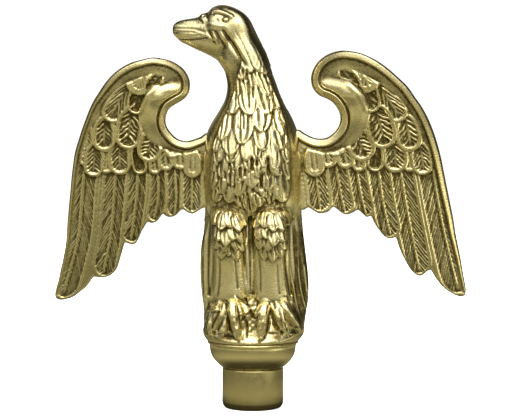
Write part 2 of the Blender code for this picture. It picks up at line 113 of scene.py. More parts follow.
def curve(points, per=4, closed=True):
    """Catmull-Rom curve through given points."""
    p = np.array(points, float)
    if not closed:
        p = np.vstack([2 * p[0] - p[1], p, 2 * p[-1] - p[-2]])
    n = len(p)
    out = []
    for i in (range(n) if closed else range(1, n - 2)):
        a, b, c, d = p[i - 1], p[i], p[(i + 1) % n], p[(i + 2) % n]
        for s in range(per):
            t = s / per
            out.append(0.5 * (2 * b + (c - a) * t + (2 * a - 5 * b + 4 * c - d) * t * t
                              + (3 * b - a - 3 * c + d) * t ** 3))
    if not closed:
        out.append(p[-2])
    return np.array(out)


def to_line(pts, line, closed=False):
    """Distance, nearest point, arc position and signed side of pts to a polyline."""
    a = line if closed else line[:-1]
    b = np.roll(line, -1, axis=0) if closed else line[1:]
    ab = b - a
    size = np.maximum(np.hypot(*ab.T), 1e-9)
    start = np.concatenate([[0], np.cumsum(size)[:-1]])
    dist, near, arc, side = [np.empty(len(pts)) for _ in range(4)]
    near = np.empty((len(pts), 2))
    for i in range(0, len(pts), 8000):
        p = pts[i:i + 8000]
        ap = p[:, None, :] - a[None]
        t = np.clip((ap * ab[None]).sum(2) / size ** 2, 0, 1)
        q = a[None] + ab[None] * t[..., None]
        d = np.hypot(*(p[:, None, :] - q).transpose(2, 0, 1))
        k = d.argmin(1)
        r = np.arange(len(p))
        dist[i:i + 8000], near[i:i + 8000] = d[r, k], q[r, k]
        arc[i:i + 8000] = start[k] + t[r, k] * size[k]
        side[i:i + 8000] = ab[k, 0] * ap[r, k, 1] - ab[k, 1] * ap[r, k, 0]
    return dist, near, arc, side


def inside(pts, ring):
    hit = np.zeros(len(pts), bool)
    x, y = pts.T
    for (x0, y0), (x1, y1) in zip(ring, np.roll(ring, -1, axis=0)):
        if y0 == y1:
            continue
        cross = (y0 > y) != (y1 > y)
        hit ^= cross & (x < (x1 - x0) * (y - y0) / (y1 - y0) + x0)
    return hit


def ease(x):
    x = np.clip(x, 0, 1)
    return x * x * (3 - 2 * x)


def warp(points):
    """Thin-plate map of right-wing drawing points onto the left wing."""
    src = np.array([m[0] for m in MATCH], float)
    dst = np.array([m[1] for m in MATCH], float)

    def kernel(a, b):
        r2 = ((a[:, None, :] - b[None]) ** 2).sum(2)
        return r2 * np.log(np.maximum(r2, 1e-9))

    n = len(src)
    m = np.zeros((n + 3, n + 3))
    m[:n, :n] = kernel(src, src) + np.eye(n) * 40
    m[:n, n:] = np.c_[np.ones(n), src]
    m[n:, :n] = m[:n, n:].T
    w = np.linalg.solve(m, np.vstack([dst, np.zeros((3, 2))]))
    p = np.array(points, float).reshape(-1, 2)
    return kernel(p, src) @ w[:n] + np.c_[np.ones(len(p)), p] @ w[n:]


class Relief:
    """Height map over part of the drawing, painted feather by feather (mm)."""

    def __init__(self, x0, x1, y0, y1, step):
        self.x0, self.y0, self.step = x0, y0, step
        self.xs = np.arange(x0, x1 + step, step)
        self.ys = np.arange(y0, y1 + step, step)
        self.X, self.Y = np.meshgrid(self.xs, self.ys)
        self.H = np.zeros_like(self.X)
        self.dark = np.zeros_like(self.X)

    def window(self, pts, pad):
        lo, hi = pts.min(0) - pad, pts.max(0) + pad
        i0 = max(0, int((lo[1] - self.y0) / self.step))
        i1 = min(len(self.ys), int((hi[1] - self.y0) / self.step) + 2)
        j0 = max(0, int((lo[0] - self.x0) / self.step))
        j1 = min(len(self.xs), int((hi[0] - self.x0) / self.step) + 2)
        return slice(i0, i1), slice(j0, j1)

    def local(self, line, pad):
        win = self.window(line, pad)
        x, y = self.X[win], self.Y[win]
        if x.size == 0:
            return None
        d, _, arc, side = to_line(np.c_[x.ravel(), y.ravel()], line)
        d = d.reshape(x.shape)
        arc = arc.reshape(x.shape)
        side = side.reshape(x.shape)
        return win, d, arc, np.sign(side) * d

    def feather(self, spine, w, level=0.0, lift=0.3, dome=0.35, rim=0.25, shaft=0.25, barb=0.22, pitch=5.0,
                slant=1.5, tip=1.0, root=0.12, grooves=0, groove=0.0, sharp=1.0):
        """A feather along its spine. w is its half-width; tip is the length of
        its rounded end over w, root the share over which it widens."""
        line = curve(spine, 6, closed=False)
        total = np.hypot(*np.diff(line, axis=0).T).sum()
        got = self.local(line, w + 2)
        if got is None:
            return
        win, d, arc, a = got
        t = arc / total
        end = min(tip * w / total, 0.95)
        half = w * np.ones_like(t)
        grow = t < root
        half[grow] = w * (0.35 + 0.65 * np.sin(0.5 * math.pi * t[grow] / max(root, 1e-6)))
        cut = t > 1 - end
        half[cut] = w * np.maximum(1 - ((t[cut] - (1 - end)) / end) ** 2, 0) ** (0.5 * sharp)
        mask = (d < half) & (t < 0.9999) & (t > 0.0001)
        q = np.clip(np.abs(a) / np.maximum(half, 1e-6), 0, 1)
        # distance to the feather's edge drives its raised rim
        edge = np.minimum(half - d, (1 - t) * total)
        h = level + lift * t + dome * (1 - q ** 2)
        h += rim * np.exp(-((edge - 1.2) / 0.9) ** 2) * ease((t - 0.25) / 0.4)
        if shaft:
            sw = 0.75 + 0.5 * (1 - t)
            h += shaft * np.exp(-(a / sw) ** 2) * ease((1 - t) / 0.12)
        if barb:
            phase = (arc - slant * np.abs(a)) / pitch + 0.25 * (a > 0)
            wave = (0.5 + 0.5 * np.cos(2 * math.pi * phase)) ** 1.6
            h += barb * (wave - 0.45) * ease(np.abs(a) / 2.0) * ease((half - d) / 2.2)
        if grooves:
            wave = np.abs(np.cos(math.pi * grooves * 0.5 * (a / np.maximum(half, 1e-6) + 0.13)))
            h -= groove * (1 - wave ** 0.6) * ease((half - d) / 1.4)
        h = np.where(edge < 0.9, h - 0.35 * (1 - np.clip(edge, 0, 0.9) / 0.9), h)
        H = self.H[win]
        H[mask] = h[mask]

    def plume(self, spine, w, level=0.0, lift=0.3, rim=3.0, deep=0.5, shaft=0.45, barb=0.5, pitch=5.2, slant=2.2,
              tip=1.0, root=0.12, seed=0, lip=0.16, sharp=1.0, fine=0.17, outer=0, wall=1.8, start=0.45):
        """A hollow-cut feather: raised margin, sunk vane, standing shaft and barbs.
        outer is the side (+1 or -1) whose barbs stand highest."""
        line = curve(spine, 6, closed=False)
        total = np.hypot(*np.diff(line, axis=0).T).sum()
        got = self.local(line, w + 2)
        if got is None:
            return
        win, d, arc, a = got
        t = arc / total
        end = min(tip * w / total, 0.95)
        half = w * np.ones_like(t)
        grow = t < root
        half[grow] = w * (start + (1 - start) * np.sin(0.5 * math.pi * t[grow] / max(root, 1e-6)))
        cut = t > 1 - end
        half[cut] = w * np.maximum(1 - ((t[cut] - (1 - end)) / end) ** 2, 0) ** (0.5 * sharp)
        mask = (d < half) & (t < 0.9999) & (t > 0.0001)
        round_ = np.sqrt(((t - (1 - end)) / end) ** 2 + (d / w) ** 2)
        edge = np.where(cut, (1 - round_) * min(w, end * total), half - d)
        side = np.abs(a)
        sunk = ease((edge - rim) / wall)
        h = level + lift * t - deep * sunk
        xy = np.c_[self.X[win].ravel() / 4.5, self.Y[win].ravel() / 4.5, np.zeros(arc.size)]
        stray = (rough(xy, 1.0, 3.1 + seed) - 0.5).reshape(arc.shape)
        phase = (arc + 2.6 * stray - slant * side) / pitch + 0.37 * (a > 0)
        k = np.floor(phase)
        r = np.modf(np.abs(np.sin(k * 12.9898 + (a > 0) * 4.1 + seed * 7.31)) * 437.585)[0]
        ridge = np.exp(-((phase - k - 0.5) / (fine + 0.07 * r)) ** 2)
        strong = np.where(np.sign(a) == outer, 1.15, 0.7) if outer else 1.0
        h += barb * (0.45 + 0.75 * r) * ridge * sunk * ease((side - 0.7) / 1.6) * strong
        h += shaft * np.exp(-(a / (0.95 + 0.55 * (1 - t))) ** 2) * ease((1 - t) / 0.12) * ease(t / 0.08)
        h -= 0.14 * np.exp(-((side - 2.6) / 0.9) ** 2) * sunk
        h += lip * np.exp(-((edge - 1.1) / 0.8) ** 2) * ease((t - 0.15) / 0.3)
        h = np.where(edge < 0.9, h - 0.45 * (1 - np.clip(edge, 0, 0.9) / 0.9), h)
        H = self.H[win]
        H[mask] = h[mask]

    def cavity(self):
        """How far each point lies under its surroundings (mm, positive in hollows)."""
        H = self.H
        fy = np.fft.fftfreq(H.shape[0], self.step)[:, None]
        fx = np.fft.rfftfreq(H.shape[1], self.step)[None]
        spec = np.fft.rfft2(H)
        out = np.zeros_like(H)
        for sigma, share in ((1.5, 0.75), (5.0, 0.75)):
            out += share * (np.fft.irfft2(spec * np.exp(-2 * (math.pi * sigma) ** 2 * (fx ** 2 + fy ** 2)), H.shape) - H)
        c = Relief.__new__(Relief)
        c.x0, c.y0, c.step, c.xs, c.ys, c.H = self.x0, self.y0, self.step, self.xs, self.ys, out
        return c

    def stroke(self, pts, width, depth, taper=True):
        """Adds a soft ridge (depth > 0) or groove along a line."""
        line = curve(pts, 5, closed=False)
        total = np.hypot(*np.diff(line, axis=0).T).sum()
        got = self.local(line, width * 3)
        if got is None:
            return
        win, d, arc, a = got
        fade = 1.0
        if taper:
            fade = ease(arc / total / 0.2) * ease((1 - arc / total) / 0.2)
        self.H[win] += depth * np.exp(-(d / width) ** 2) * fade

    def bump(self, c, r, turn, height, power=1.0, cap=False):
        ca, sa = math.cos(math.radians(turn)), math.sin(math.radians(turn))
        x, y = self.X - c[0], self.Y - c[1]
        q = ((x * ca + y * sa) / r[0]) ** 2 + ((-x * sa + y * ca) / r[1]) ** 2
        if cap:
            self.H += height * np.sqrt(np.maximum(1 - q, 0))
        else:
            self.H += height * np.exp(-(q ** power))

    def toe(self, spine, w, height):
        """A toe with two flat flanks meeting in a ridge."""
        line = curve(spine, 6, closed=False)
        got = self.local(line, w + 1)
        if got is None:
            return
        win, d, arc, a = got
        total = np.hypot(*np.diff(line, axis=0).T).sum()
        half = w * (1 - 0.40 * arc / total) * np.sqrt(np.clip((1 - arc / total) / 0.16, 0, 1))
        q = np.clip(1 - d / np.maximum(half, 1e-6), 0, 1)
        self.H[win] = np.maximum(self.H[win], height * np.minimum(q * 1.5, 1) * ease(arc / total / 0.15))

    def facet(self, ring):
        """A tilted three-cornered plane; corners are (column, row, height)."""
        (x0, y0, h0), (x1, y1, h1), (x2, y2, h2) = ring
        det = (y1 - y2) * (x0 - x2) + (x2 - x1) * (y0 - y2)
        a = ((y1 - y2) * (self.X - x2) + (x2 - x1) * (self.Y - y2)) / det
        b = ((y2 - y0) * (self.X - x2) + (x0 - x2) * (self.Y - y2)) / det
        c = 1 - a - b
        level = a * h0 + b * h1 + c * h2
        self.H = np.where((a > 0) & (b > 0) & (c > 0), np.maximum(level, self.H), self.H)

    def soften(self, times=1):
        for _ in range(times):
            for axis in (0, 1):
                h = self.H
                self.H = 0.25 * np.roll(h, 1, axis) + 0.5 * h + 0.25 * np.roll(h, -1, axis)

    def at(self, u, v):
        x = np.clip((u - self.x0) / self.step, 0, len(self.xs) - 1.001)
        y = np.clip((v - self.y0) / self.step, 0, len(self.ys) - 1.001)
        i, j = y.astype(int), x.astype(int)
        fx, fy = x - j, y - i
        h = self.H
        return ((h[i, j] * (1 - fx) + h[i, j + 1] * fx) * (1 - fy)
                + (h[i + 1, j] * (1 - fx) + h[i + 1, j + 1] * fx) * fy)


# ------------------------------------------------------------------- wings ----
GRID = 0.62

# flight feathers of the right wing: spine, half-width, rounded end, barb pitch, margin
FLIGHT = [
    (((430, 150), (436, 190), (446, 240), (460, 297)), 17.0, 1.5, 5.0, 2.2),
    (((398, 152), (404, 192), (412, 235), (421, 277.5)), 15.0, 1.15, 5.4, 3.0),
    (((377, 150), (380, 182), (385, 212), (392, 240)), 13.0, 1.1, 5.0, 2.6),
    (((354, 148), (357, 170), (361, 194), (367, 218.5)), 11.0, 1.0, 4.8, 2.6),
    (((333, 148), (337, 170), (341, 194), (346, 216)), 12.5, 1.0, 5.2, 3.0),
    (((314, 150), (316, 172), (319, 194), (321, 215)), 14.0, 1.0, 6.0, 4.0),
]
# coverts: root, middle, tip, half-width, margin, depth, barb pitch, slant, barb height
COVERTS = [
    # greater
    ((407, 142), (409, 157), (410, 172), 7.5, 1.8, 0.40, 4.2, 1.4, 0.40),
    ((424, 122), (428, 143), (432, 166), 8.5, 1.8, 0.55, 3.9, 1.3, 0.60),
    ((418, 140), (422, 158), (424, 175.5), 11.5, 2.2, 0.80, 4.6, 1.2, 0.62),
    ((391, 134), (395, 154), (396, 173), 13.0, 2.6, 0.80, 4.4, 1.1, 0.60),
    ((376, 140), (375.5, 157), (375, 172), 8.5, 1.6, 1.00, 6.0, 0.9, 0.20),
    ((355, 144), (358, 158), (360, 172), 7.5, 1.8, 0.40, 4.4, 1.4, 0.36),
    ((342, 138), (345, 154), (347, 169), 9.5, 2.4, 0.40, 4.6, 1.3, 0.34),
    ((326, 140), (328, 155), (330, 168), 8.5, 2.2, 0.30, 4.6, 1.3, 0.26),
    ((312, 144), (314, 161), (316, 177), 10.0, 4.2, 0.14, 5.0, 1.4, 0.06),
    # median
    ((331, 132), (335, 145), (337, 157), 8.0, 2.0, 0.30, 4.6, 1.2, 0.26),
    ((402, 112), (408, 131), (411, 152), 13.5, 3.2, 0.90, 5.4, 0.95, 0.55),
    # lesser
    ((368, 70), (386, 96), (403, 121), 13.0, 2.4, 0.85, 7.5, 2.6, 0.75),
    ((371, 100), (380, 124), (386, 148.5), 15.0, 2.8, 1.25, 5.8, 0.9, 0.80),
    ((348, 122), (358, 140), (369, 160), 14.0, 3.0, 0.95, 4.8, 0.75, 0.66),
    ((360, 76), (368, 94), (372, 113), 11.5, 2.0, 1.30, 7.0, 0.8, 0.50),
    ((350, 54), (362, 72), (372, 92), 15.5, 5.0, 0.35, 5.5, 1.6, 0.36),
    ((338, 64), (349, 78), (358, 91), 9.0, 1.4, 0.95, 6.0, 0.8, 0.30),
]
# smooth border inside the leading edge: station on the drawing, bead, flat
BORDER = [
    ((298, 127), 8.0, 1.0), ((306, 133.5), 8.5, 2.0), ((318, 138.5), 9.0, 2.0), ((331, 135), 9.0, 7.0), ((340, 118), 8.0, 20.0),
    ((326, 98.5), 8.0, 24.0), ((315, 91.5), 7.5, 20.0), ((311, 78), 7.5, 16.0), ((324, 56.5), 7.5, 12.0),
    ((350, 51), 7.5, 10.0), ((380, 62.5), 7.5, 10.0), ((400, 79), 7.2, 7.0), ((422, 107), 7.4, 4.0),
    ((437, 142), 7.5, 2.0), ((447, 187), 7.1, 1.0), ((455, 230), 5.9, 0.5), ((463, 272), 3.8, 0.5),
    ((466, 290), 2.5, 0.5),
]


def sweep(u, v):
    """Depth of a wing's mid-plane: wrists forward, primaries trailing back."""
    x, z = (u - 252.8) * UNIT, (406.7 - v) * UNIT
    s = ease((np.abs(x) - 15) / 38)
    return 1.55 + s * ((106 - z) * 0.27 + 2.0)


def make_wing(name, ring, side):
    ring = np.array(ring, float)
    outline = curve(ring, 5)
    lo, hi = outline.min(0) - 2 * GRID, outline.max(0) + 2 * GRID
    rel = Relief(lo[0], hi[0], lo[1], hi[1], GRID)
    pts = np.c_[rel.X.ravel(), rel.Y.ravel()]
    fit = (lambda p: np.array(p, float)) if side > 0 else warp
    scale = 1.0 if side > 0 else 0.9

    # feathers, outermost first
    for i, (spine, w, tip, pitch, rim) in enumerate(FLIGHT):
        rel.plume(fit(spine), w * scale, 0.0, 0.15, rim * scale, 0.75, 0.75, 0.85, pitch * scale, 2.1, tip, 0.05, seed=i, lip=0.06, outer=-side)
    for i, (a, b, c, w, rim, deep, pitch, slant, barb) in enumerate(COVERTS):
        rel.plume(fit((a, b, c)), w * scale, 0.42, 0.42, 1.1 * rim * scale, 1.35 * deep, 0.3, 1.45 * barb, pitch * scale, slant,
                  1.0, 0.45, seed=i + 9, lip=0.12, fine=0.2, outer=-side, wall=2.8, start=0.15)
    # fine uneven tooling over the feathers
    w0 = np.c_[rel.X.ravel(), rel.Y.ravel(), np.zeros(rel.X.size)]
    rel.H += ((rough(w0, 1.7, 4.4) - 0.5) * 0.14).reshape(rel.X.shape)
    # leading edge: rolled bead and the smooth border behind it
    stations = fit([b[0] for b in BORDER])
    if side > 0:
        outline_lead = outline[::-1]
    else:
        outline_lead = outline
    _, _, arcs, _ = to_line(stations, outline_lead)
    seg = np.hypot(*np.diff(outline_lead, axis=0).T)
    pos = np.concatenate([[0], np.cumsum(seg)])
    keep = (pos >= arcs.min() - 0.01) & (pos <= arcs.max() + 0.01)
    lead = outline_lead[keep]
    _, _, arcs, _ = to_line(stations, lead)
    order = np.argsort(arcs)
    d, _, arc, _ = to_line(pts, lead)
    bead = np.interp(arc, arcs[order], np.array([b[1] for b in BORDER])[order] * scale)
    flat = np.interp(arc, arcs[order], np.array([b[2] for b in BORDER])[order] * scale)
    if side < 0:
        # the far wing's outer edge is seen at a slant, so its bead draws narrow
        total = lead_len = np.hypot(*np.diff(lead, axis=0).T).sum()
        slant = ease((arc / total - 0.46) / 0.12)
        bead = bead * (1 - 0.5 * slant)
    d, bead, flat, arc = [q.reshape(rel.X.shape) for q in (d, bead, flat, arc)]
    plumage = ease((d - bead - flat) / 3.5)
    smooth = -0.15 + 0.0 * d
    rel.H = rel.H * plumage + smooth * (1 - plumage)
    # wrist bulge and the swelling that runs down beside the gap
    wrist = fit([(337, 91), (350.5, 110), (356, 130), (330, 152)])
    lean = -14 if side > 0 else 14
    soft = Relief(lo[0], hi[0], lo[1], hi[1], GRID)
    soft.bump(wrist[0], (21 * scale, 9.5 * scale), -lean * 1.0, 1.9, 1.5)
    soft.bump(wrist[1], (15 * scale, 19 * scale), 0, 1.25, 2.0)
    soft.bump(wrist[2], (13 * scale, 17 * scale), 0, 0.5, 1.0)
    rel.H += soft.H * ease((d - bead + 1.0) / 4.0) * (1 - 0.75 * plumage)
    rel.stroke(fit([(343, 81), (353, 89), (362, 99), (367.5, 114)]), 2.4, 0.5)
    x = np.clip(d / np.maximum(bead, 1e-6), 0, 1)
    roll = np.where(x < 0.85, 0.35 + 0.65 * x / 0.85, np.sqrt(np.maximum(1 - ((x - 0.85) / 0.15) ** 2, 0)))
    roll *= 1.55 * np.clip(bead / 7, 0.25, 1.1)
    rel.H = np.where(d < bead, roll, rel.H)
    rel.H -= 0.22 * np.exp(-((d - bead - 0.8) / 1.0) ** 2) * (1 - 0.5 * plumage)
    rel.soften(1)
    # painted shade: how deep each point lies in a recess darkens the material there, less so just inside the bead
    hollow = rel.cavity()
    hollow.H = hollow.H * (1 - 0.6 * np.exp(-((d - bead - 1.5) / 3.2) ** 2))

    # grid cells, with outside corners pulled onto the outline
    inn = inside(pts, outline)
    dist, near, _, _ = to_line(pts, outline, closed=True)
    rows, cols = rel.X.shape
    ok = inn.reshape(rows, cols)
    cell = ok[:-1, :-1] | ok[1:, :-1] | ok[:-1, 1:] | ok[1:, 1:]
    i, j = np.nonzero(cell)
    quads = np.stack([i * cols + j, (i + 1) * cols + j, (i + 1) * cols + j + 1, i * cols + j + 1], 1)
    used = np.unique(quads)
    uv = np.where(inn[:, None], pts, near)[used]
    depth = np.where(inn, dist, 0)[used]
    at = -np.ones(len(pts), int)
    at[used] = np.arange(len(used))
    quads = at[quads]
    rim = depth <= 1e-9
    h = rel.at(uv[:, 0], uv[:, 1])
    mid = sweep(uv[:, 0], uv[:, 1])
    r = 2.4
    curl = np.sqrt(np.maximum(1 - (1 - np.minimum(depth / r, 1)) ** 2, 0))
    front = mid - curl * (1.25 + h)
    back = mid + curl * (1.2 + 0.45 * h)
    pf = place(uv[:, 0], uv[:, 1], front)
    pb = place(uv[:, 0], uv[:, 1], np.where(rim, front, back))
    # at the outline the back surface keeps the front's x and z
    pb[:, 0] = np.where(rim, pf[:, 0], pb[:, 0])
    pb[:, 2] = np.where(rim, pf[:, 2], pb[:, 2])
    n = len(used)
    back_at = np.where(rim, np.arange(n), -1)
    extra = np.nonzero(~rim)[0]
    back_at[extra] = n + np.arange(len(extra))
    verts = np.vstack([pf, pb[extra]])
    bq = back_at[quads][:, ::-1]
    faces = np.vstack([quads, bq])
    ob = mesh_object(name, verts, faces)
    deep = hollow.at(uv[:, 0], uv[:, 1]) * ease(depth / 3)
    mark(ob, np.concatenate([deep, 0.55 * deep[extra]]))
    tidy(ob)
    return ob


def sunken(ob, times):
    """Depth of each point under the smoothed skin (mm)."""
    m = ob.modifiers.new("even", "SMOOTH")
    m.factor, m.iterations = 0.6, times
    bpy.context.view_layer.update()
    ev = ob.evaluated_get(bpy.context.evaluated_depsgraph_get())
    n = len(ob.data.vertices)
    a, b, nrm = [np.empty(n * 3, np.float32) for _ in range(3)]
    ev.data.vertices.foreach_get("co", a)
    ob.data.vertices.foreach_get("co", b)
    ob.data.vertices.foreach_get("normal", nrm)
    ob.modifiers.clear()
    return ((a - b).reshape(-1, 3) * nrm.reshape(-1, 3)).sum(1) / MM


def mark(ob, deep):
    """Keeps how hollow each point is; the material darkens with it as painted shade and tarnish in the recesses."""
    at = ob.data.attributes.new("hollow", "FLOAT", "POINT")
    at.data.foreach_set("value", np.asarray(deep, np.float32))


def mesh_object(name, verts, faces):
    me = bpy.data.meshes.new(name)
    faces = np.asarray(faces)
    me.vertices.add(len(verts))
    me.vertices.foreach_set("co", (np.asarray(verts, float) * MM).astype(np.float32).ravel())
    me.loops.add(faces.size)
    me.loops.foreach_set("vertex_index", faces.astype(np.int32).ravel())
    me.polygons.add(len(faces))
    me.polygons.foreach_set("loop_start", np.arange(0, faces.size, faces.shape[1], dtype=np.int32))
    me.update(calc_edges=True)
    me.validate()
    ob = bpy.data.objects.new(name, me)
    bpy.context.scene.collection.objects.link(ob)
    return ob


def tidy(ob, dist=0.02):
    bm = bmesh.new()
    bm.from_mesh(ob.data)
    bmesh.ops.remove_doubles(bm, verts=bm.verts, dist=dist * MM)
    bmesh.ops.dissolve_degenerate(bm, edges=bm.edges, dist=0.005 * MM)
    loose = [v for v in bm.verts if not v.link_faces]
    bmesh.ops.delete(bm, geom=loose, context="VERTS")
    bmesh.ops.recalc_face_normals(bm, faces=bm.faces)
    if bm.calc_volume(signed=True) < 0:
        bmesh.ops.reverse_faces(bm, faces=bm.faces)
    for f in bm.faces:
        f.smooth = True
    bm.to_mesh(ob.data)
    bm.free()



# -------------------------------------------------------------------- body ----
VOXEL = 0.42
STRETCH = np.array([1.6, 0.95, 1.15])
YC = -1.0                    # depth of the bird's middle plane
ROCK_Z = 30.15
CUP_TOP = 30.0


class Lumps:
    """Closed shells that a voxel skin turns into one body."""

    def __init__(self):
        self.v, self.f, self.n = [], [], 0

    def rings(self, rings):
        rings = np.array(rings, float)
        k, n = rings.shape[:2]
        v = np.vstack([rings.reshape(-1, 3), rings[0].mean(0), rings[-1].mean(0)])
        f = []
        for i in range(k - 1):
            for j in range(n):
                m = (j + 1) % n
                f += [(i * n + j, i * n + m, (i + 1) * n + m), (i * n + j, (i + 1) * n + m, (i + 1) * n + j)]
        for j in range(n):
            m = (j + 1) % n
            f += [(m, j, k * n), ((k - 1) * n + j, (k - 1) * n + m, k * n + 1)]
        self.v.append(v)
        self.f.append(np.array(f) + self.n)
        self.n += len(v)

    def stack(self, rows, yc=YC, n=72):
        """Level sections: row v, left u, right u, front and back depth from yc, power."""
        out = []
        for row in fine_rows(rows):
            v, ul, ur, front, back, power = row
            a, b = place(ul, v, yc), place(ur, v, yc)
            c, r = (a + b) / 2, (b[0] - a[0]) / 2
            t = 2 * math.pi * np.arange(n) / n
            cs, sn = np.cos(t), np.sin(t)
            x = c[0] + np.sign(cs) * np.abs(cs) ** (2 / power) * r
            y = yc + np.sign(sn) * np.abs(sn) ** (2 / power) * np.where(sn > 0, back, front)
            out.append(np.c_[x, y, np.full(n, c[2])])
        self.rings(out)

    def profile(self, cols, yc=YC, n=48):
        """Upright sections: column u, top v, bottom v, half-width, power."""
        out = []
        for u, top, low, w, power in fine_rows(cols):
            t = 2 * math.pi * np.arange(n) / n
            cs, sn = np.cos(t), np.sin(t)
            y = yc + np.sign(cs) * np.abs(cs) ** (2 / power) * w
            v = (top + low) / 2 - sn * (low - top) / 2
            out.append(place(u, v, y))
        self.rings(out)

    def ball(self, c, r, n=28, turn=0.0):
        out = []
        for i in range(1, 16):
            f = math.pi * i / 16
            t = 2 * math.pi * np.arange(n) / n
            x, y, z = np.cos(t) * math.sin(f) * r[0], np.sin(t) * math.sin(f) * r[1], np.full(n, -math.cos(f) * r[2])
            out.append(np.c_[c[0] + x * math.cos(turn) + z * math.sin(turn), c[1] + y,
                             c[2] - x * math.sin(turn) + z * math.cos(turn)])
        self.rings(out)

    def limb(self, path, n=18):
        """Tube through (u, v, depth, radius) stations with round ends."""
        p = np.array(path, float)
        c = curve(np.c_[place(p[:, 0], p[:, 1], p[:, 2]), p[:, 3]], 5, closed=False)
        pos, rad = c[:, :3], c[:, 3]
        tan = np.gradient(pos, axis=0)
        tan /= np.linalg.norm(tan, axis=1)[:, None]
        out = []
        side = np.cross(tan[0], (0, 0, 1.0)) if abs(tan[0][2]) < 0.9 else np.cross(tan[0], (0, 1.0, 0))
        t = 2 * math.pi * np.arange(n) / n

        def ring(at, d, r):
            nonlocal side
            side = side - d * (side @ d)
            side /= np.linalg.norm(side)
            up = np.cross(d, side)
            return at + np.cos(t)[:, None] * side * r + np.sin(t)[:, None] * up * r

        for q in (80, 55, 28):
            k = math.radians(q)
            out.append(ring(pos[0] - tan[0] * rad[0] * math.sin(k), tan[0], rad[0] * math.cos(k)))
        for at, d, r in zip(pos, tan, rad):
            out.append(ring(at, d, r))
        for q in (28, 55, 80):
            k = math.radians(q)
            out.append(ring(pos[-1] + tan[-1] * rad[-1] * math.sin(k), tan[-1], rad[-1] * math.cos(k)))
        self.rings(out)

    def skin(self, name):
        # stretched while it is skinned, so the skin is finest across the feathers
        v, f = np.vstack(self.v) * STRETCH, np.vstack(self.f)
        ob = mesh_object(name, v, f)
        m = ob.modifiers.new("skin", "REMESH")
        m.mode = "VOXEL"
        m.voxel_size = VOXEL * MM
        m.adaptivity = 0
        m = ob.modifiers.new("even", "SMOOTH")
        m.factor, m.iterations = 0.5, 4
        bake(ob)
        c = np.empty(len(ob.data.vertices) * 3, np.float32)
        ob.data.vertices.foreach_get("co", c)
        ob.data.vertices.foreach_set("co", (c.reshape(-1, 3) / STRETCH).astype(np.float32).ravel())
        ob.data.update()
        return ob


def fine_rows(rows, per=3):
    return curve(np.array(rows, float), per, closed=False)


def bake(ob):
    bpy.context.view_layer.update()
    me = bpy.data.meshes.new_from_object(ob.evaluated_get(bpy.context.evaluated_depsgraph_get()))
    ob.modifiers.clear()
    old, ob.data = ob.data, me
    bpy.data.meshes.remove(old)


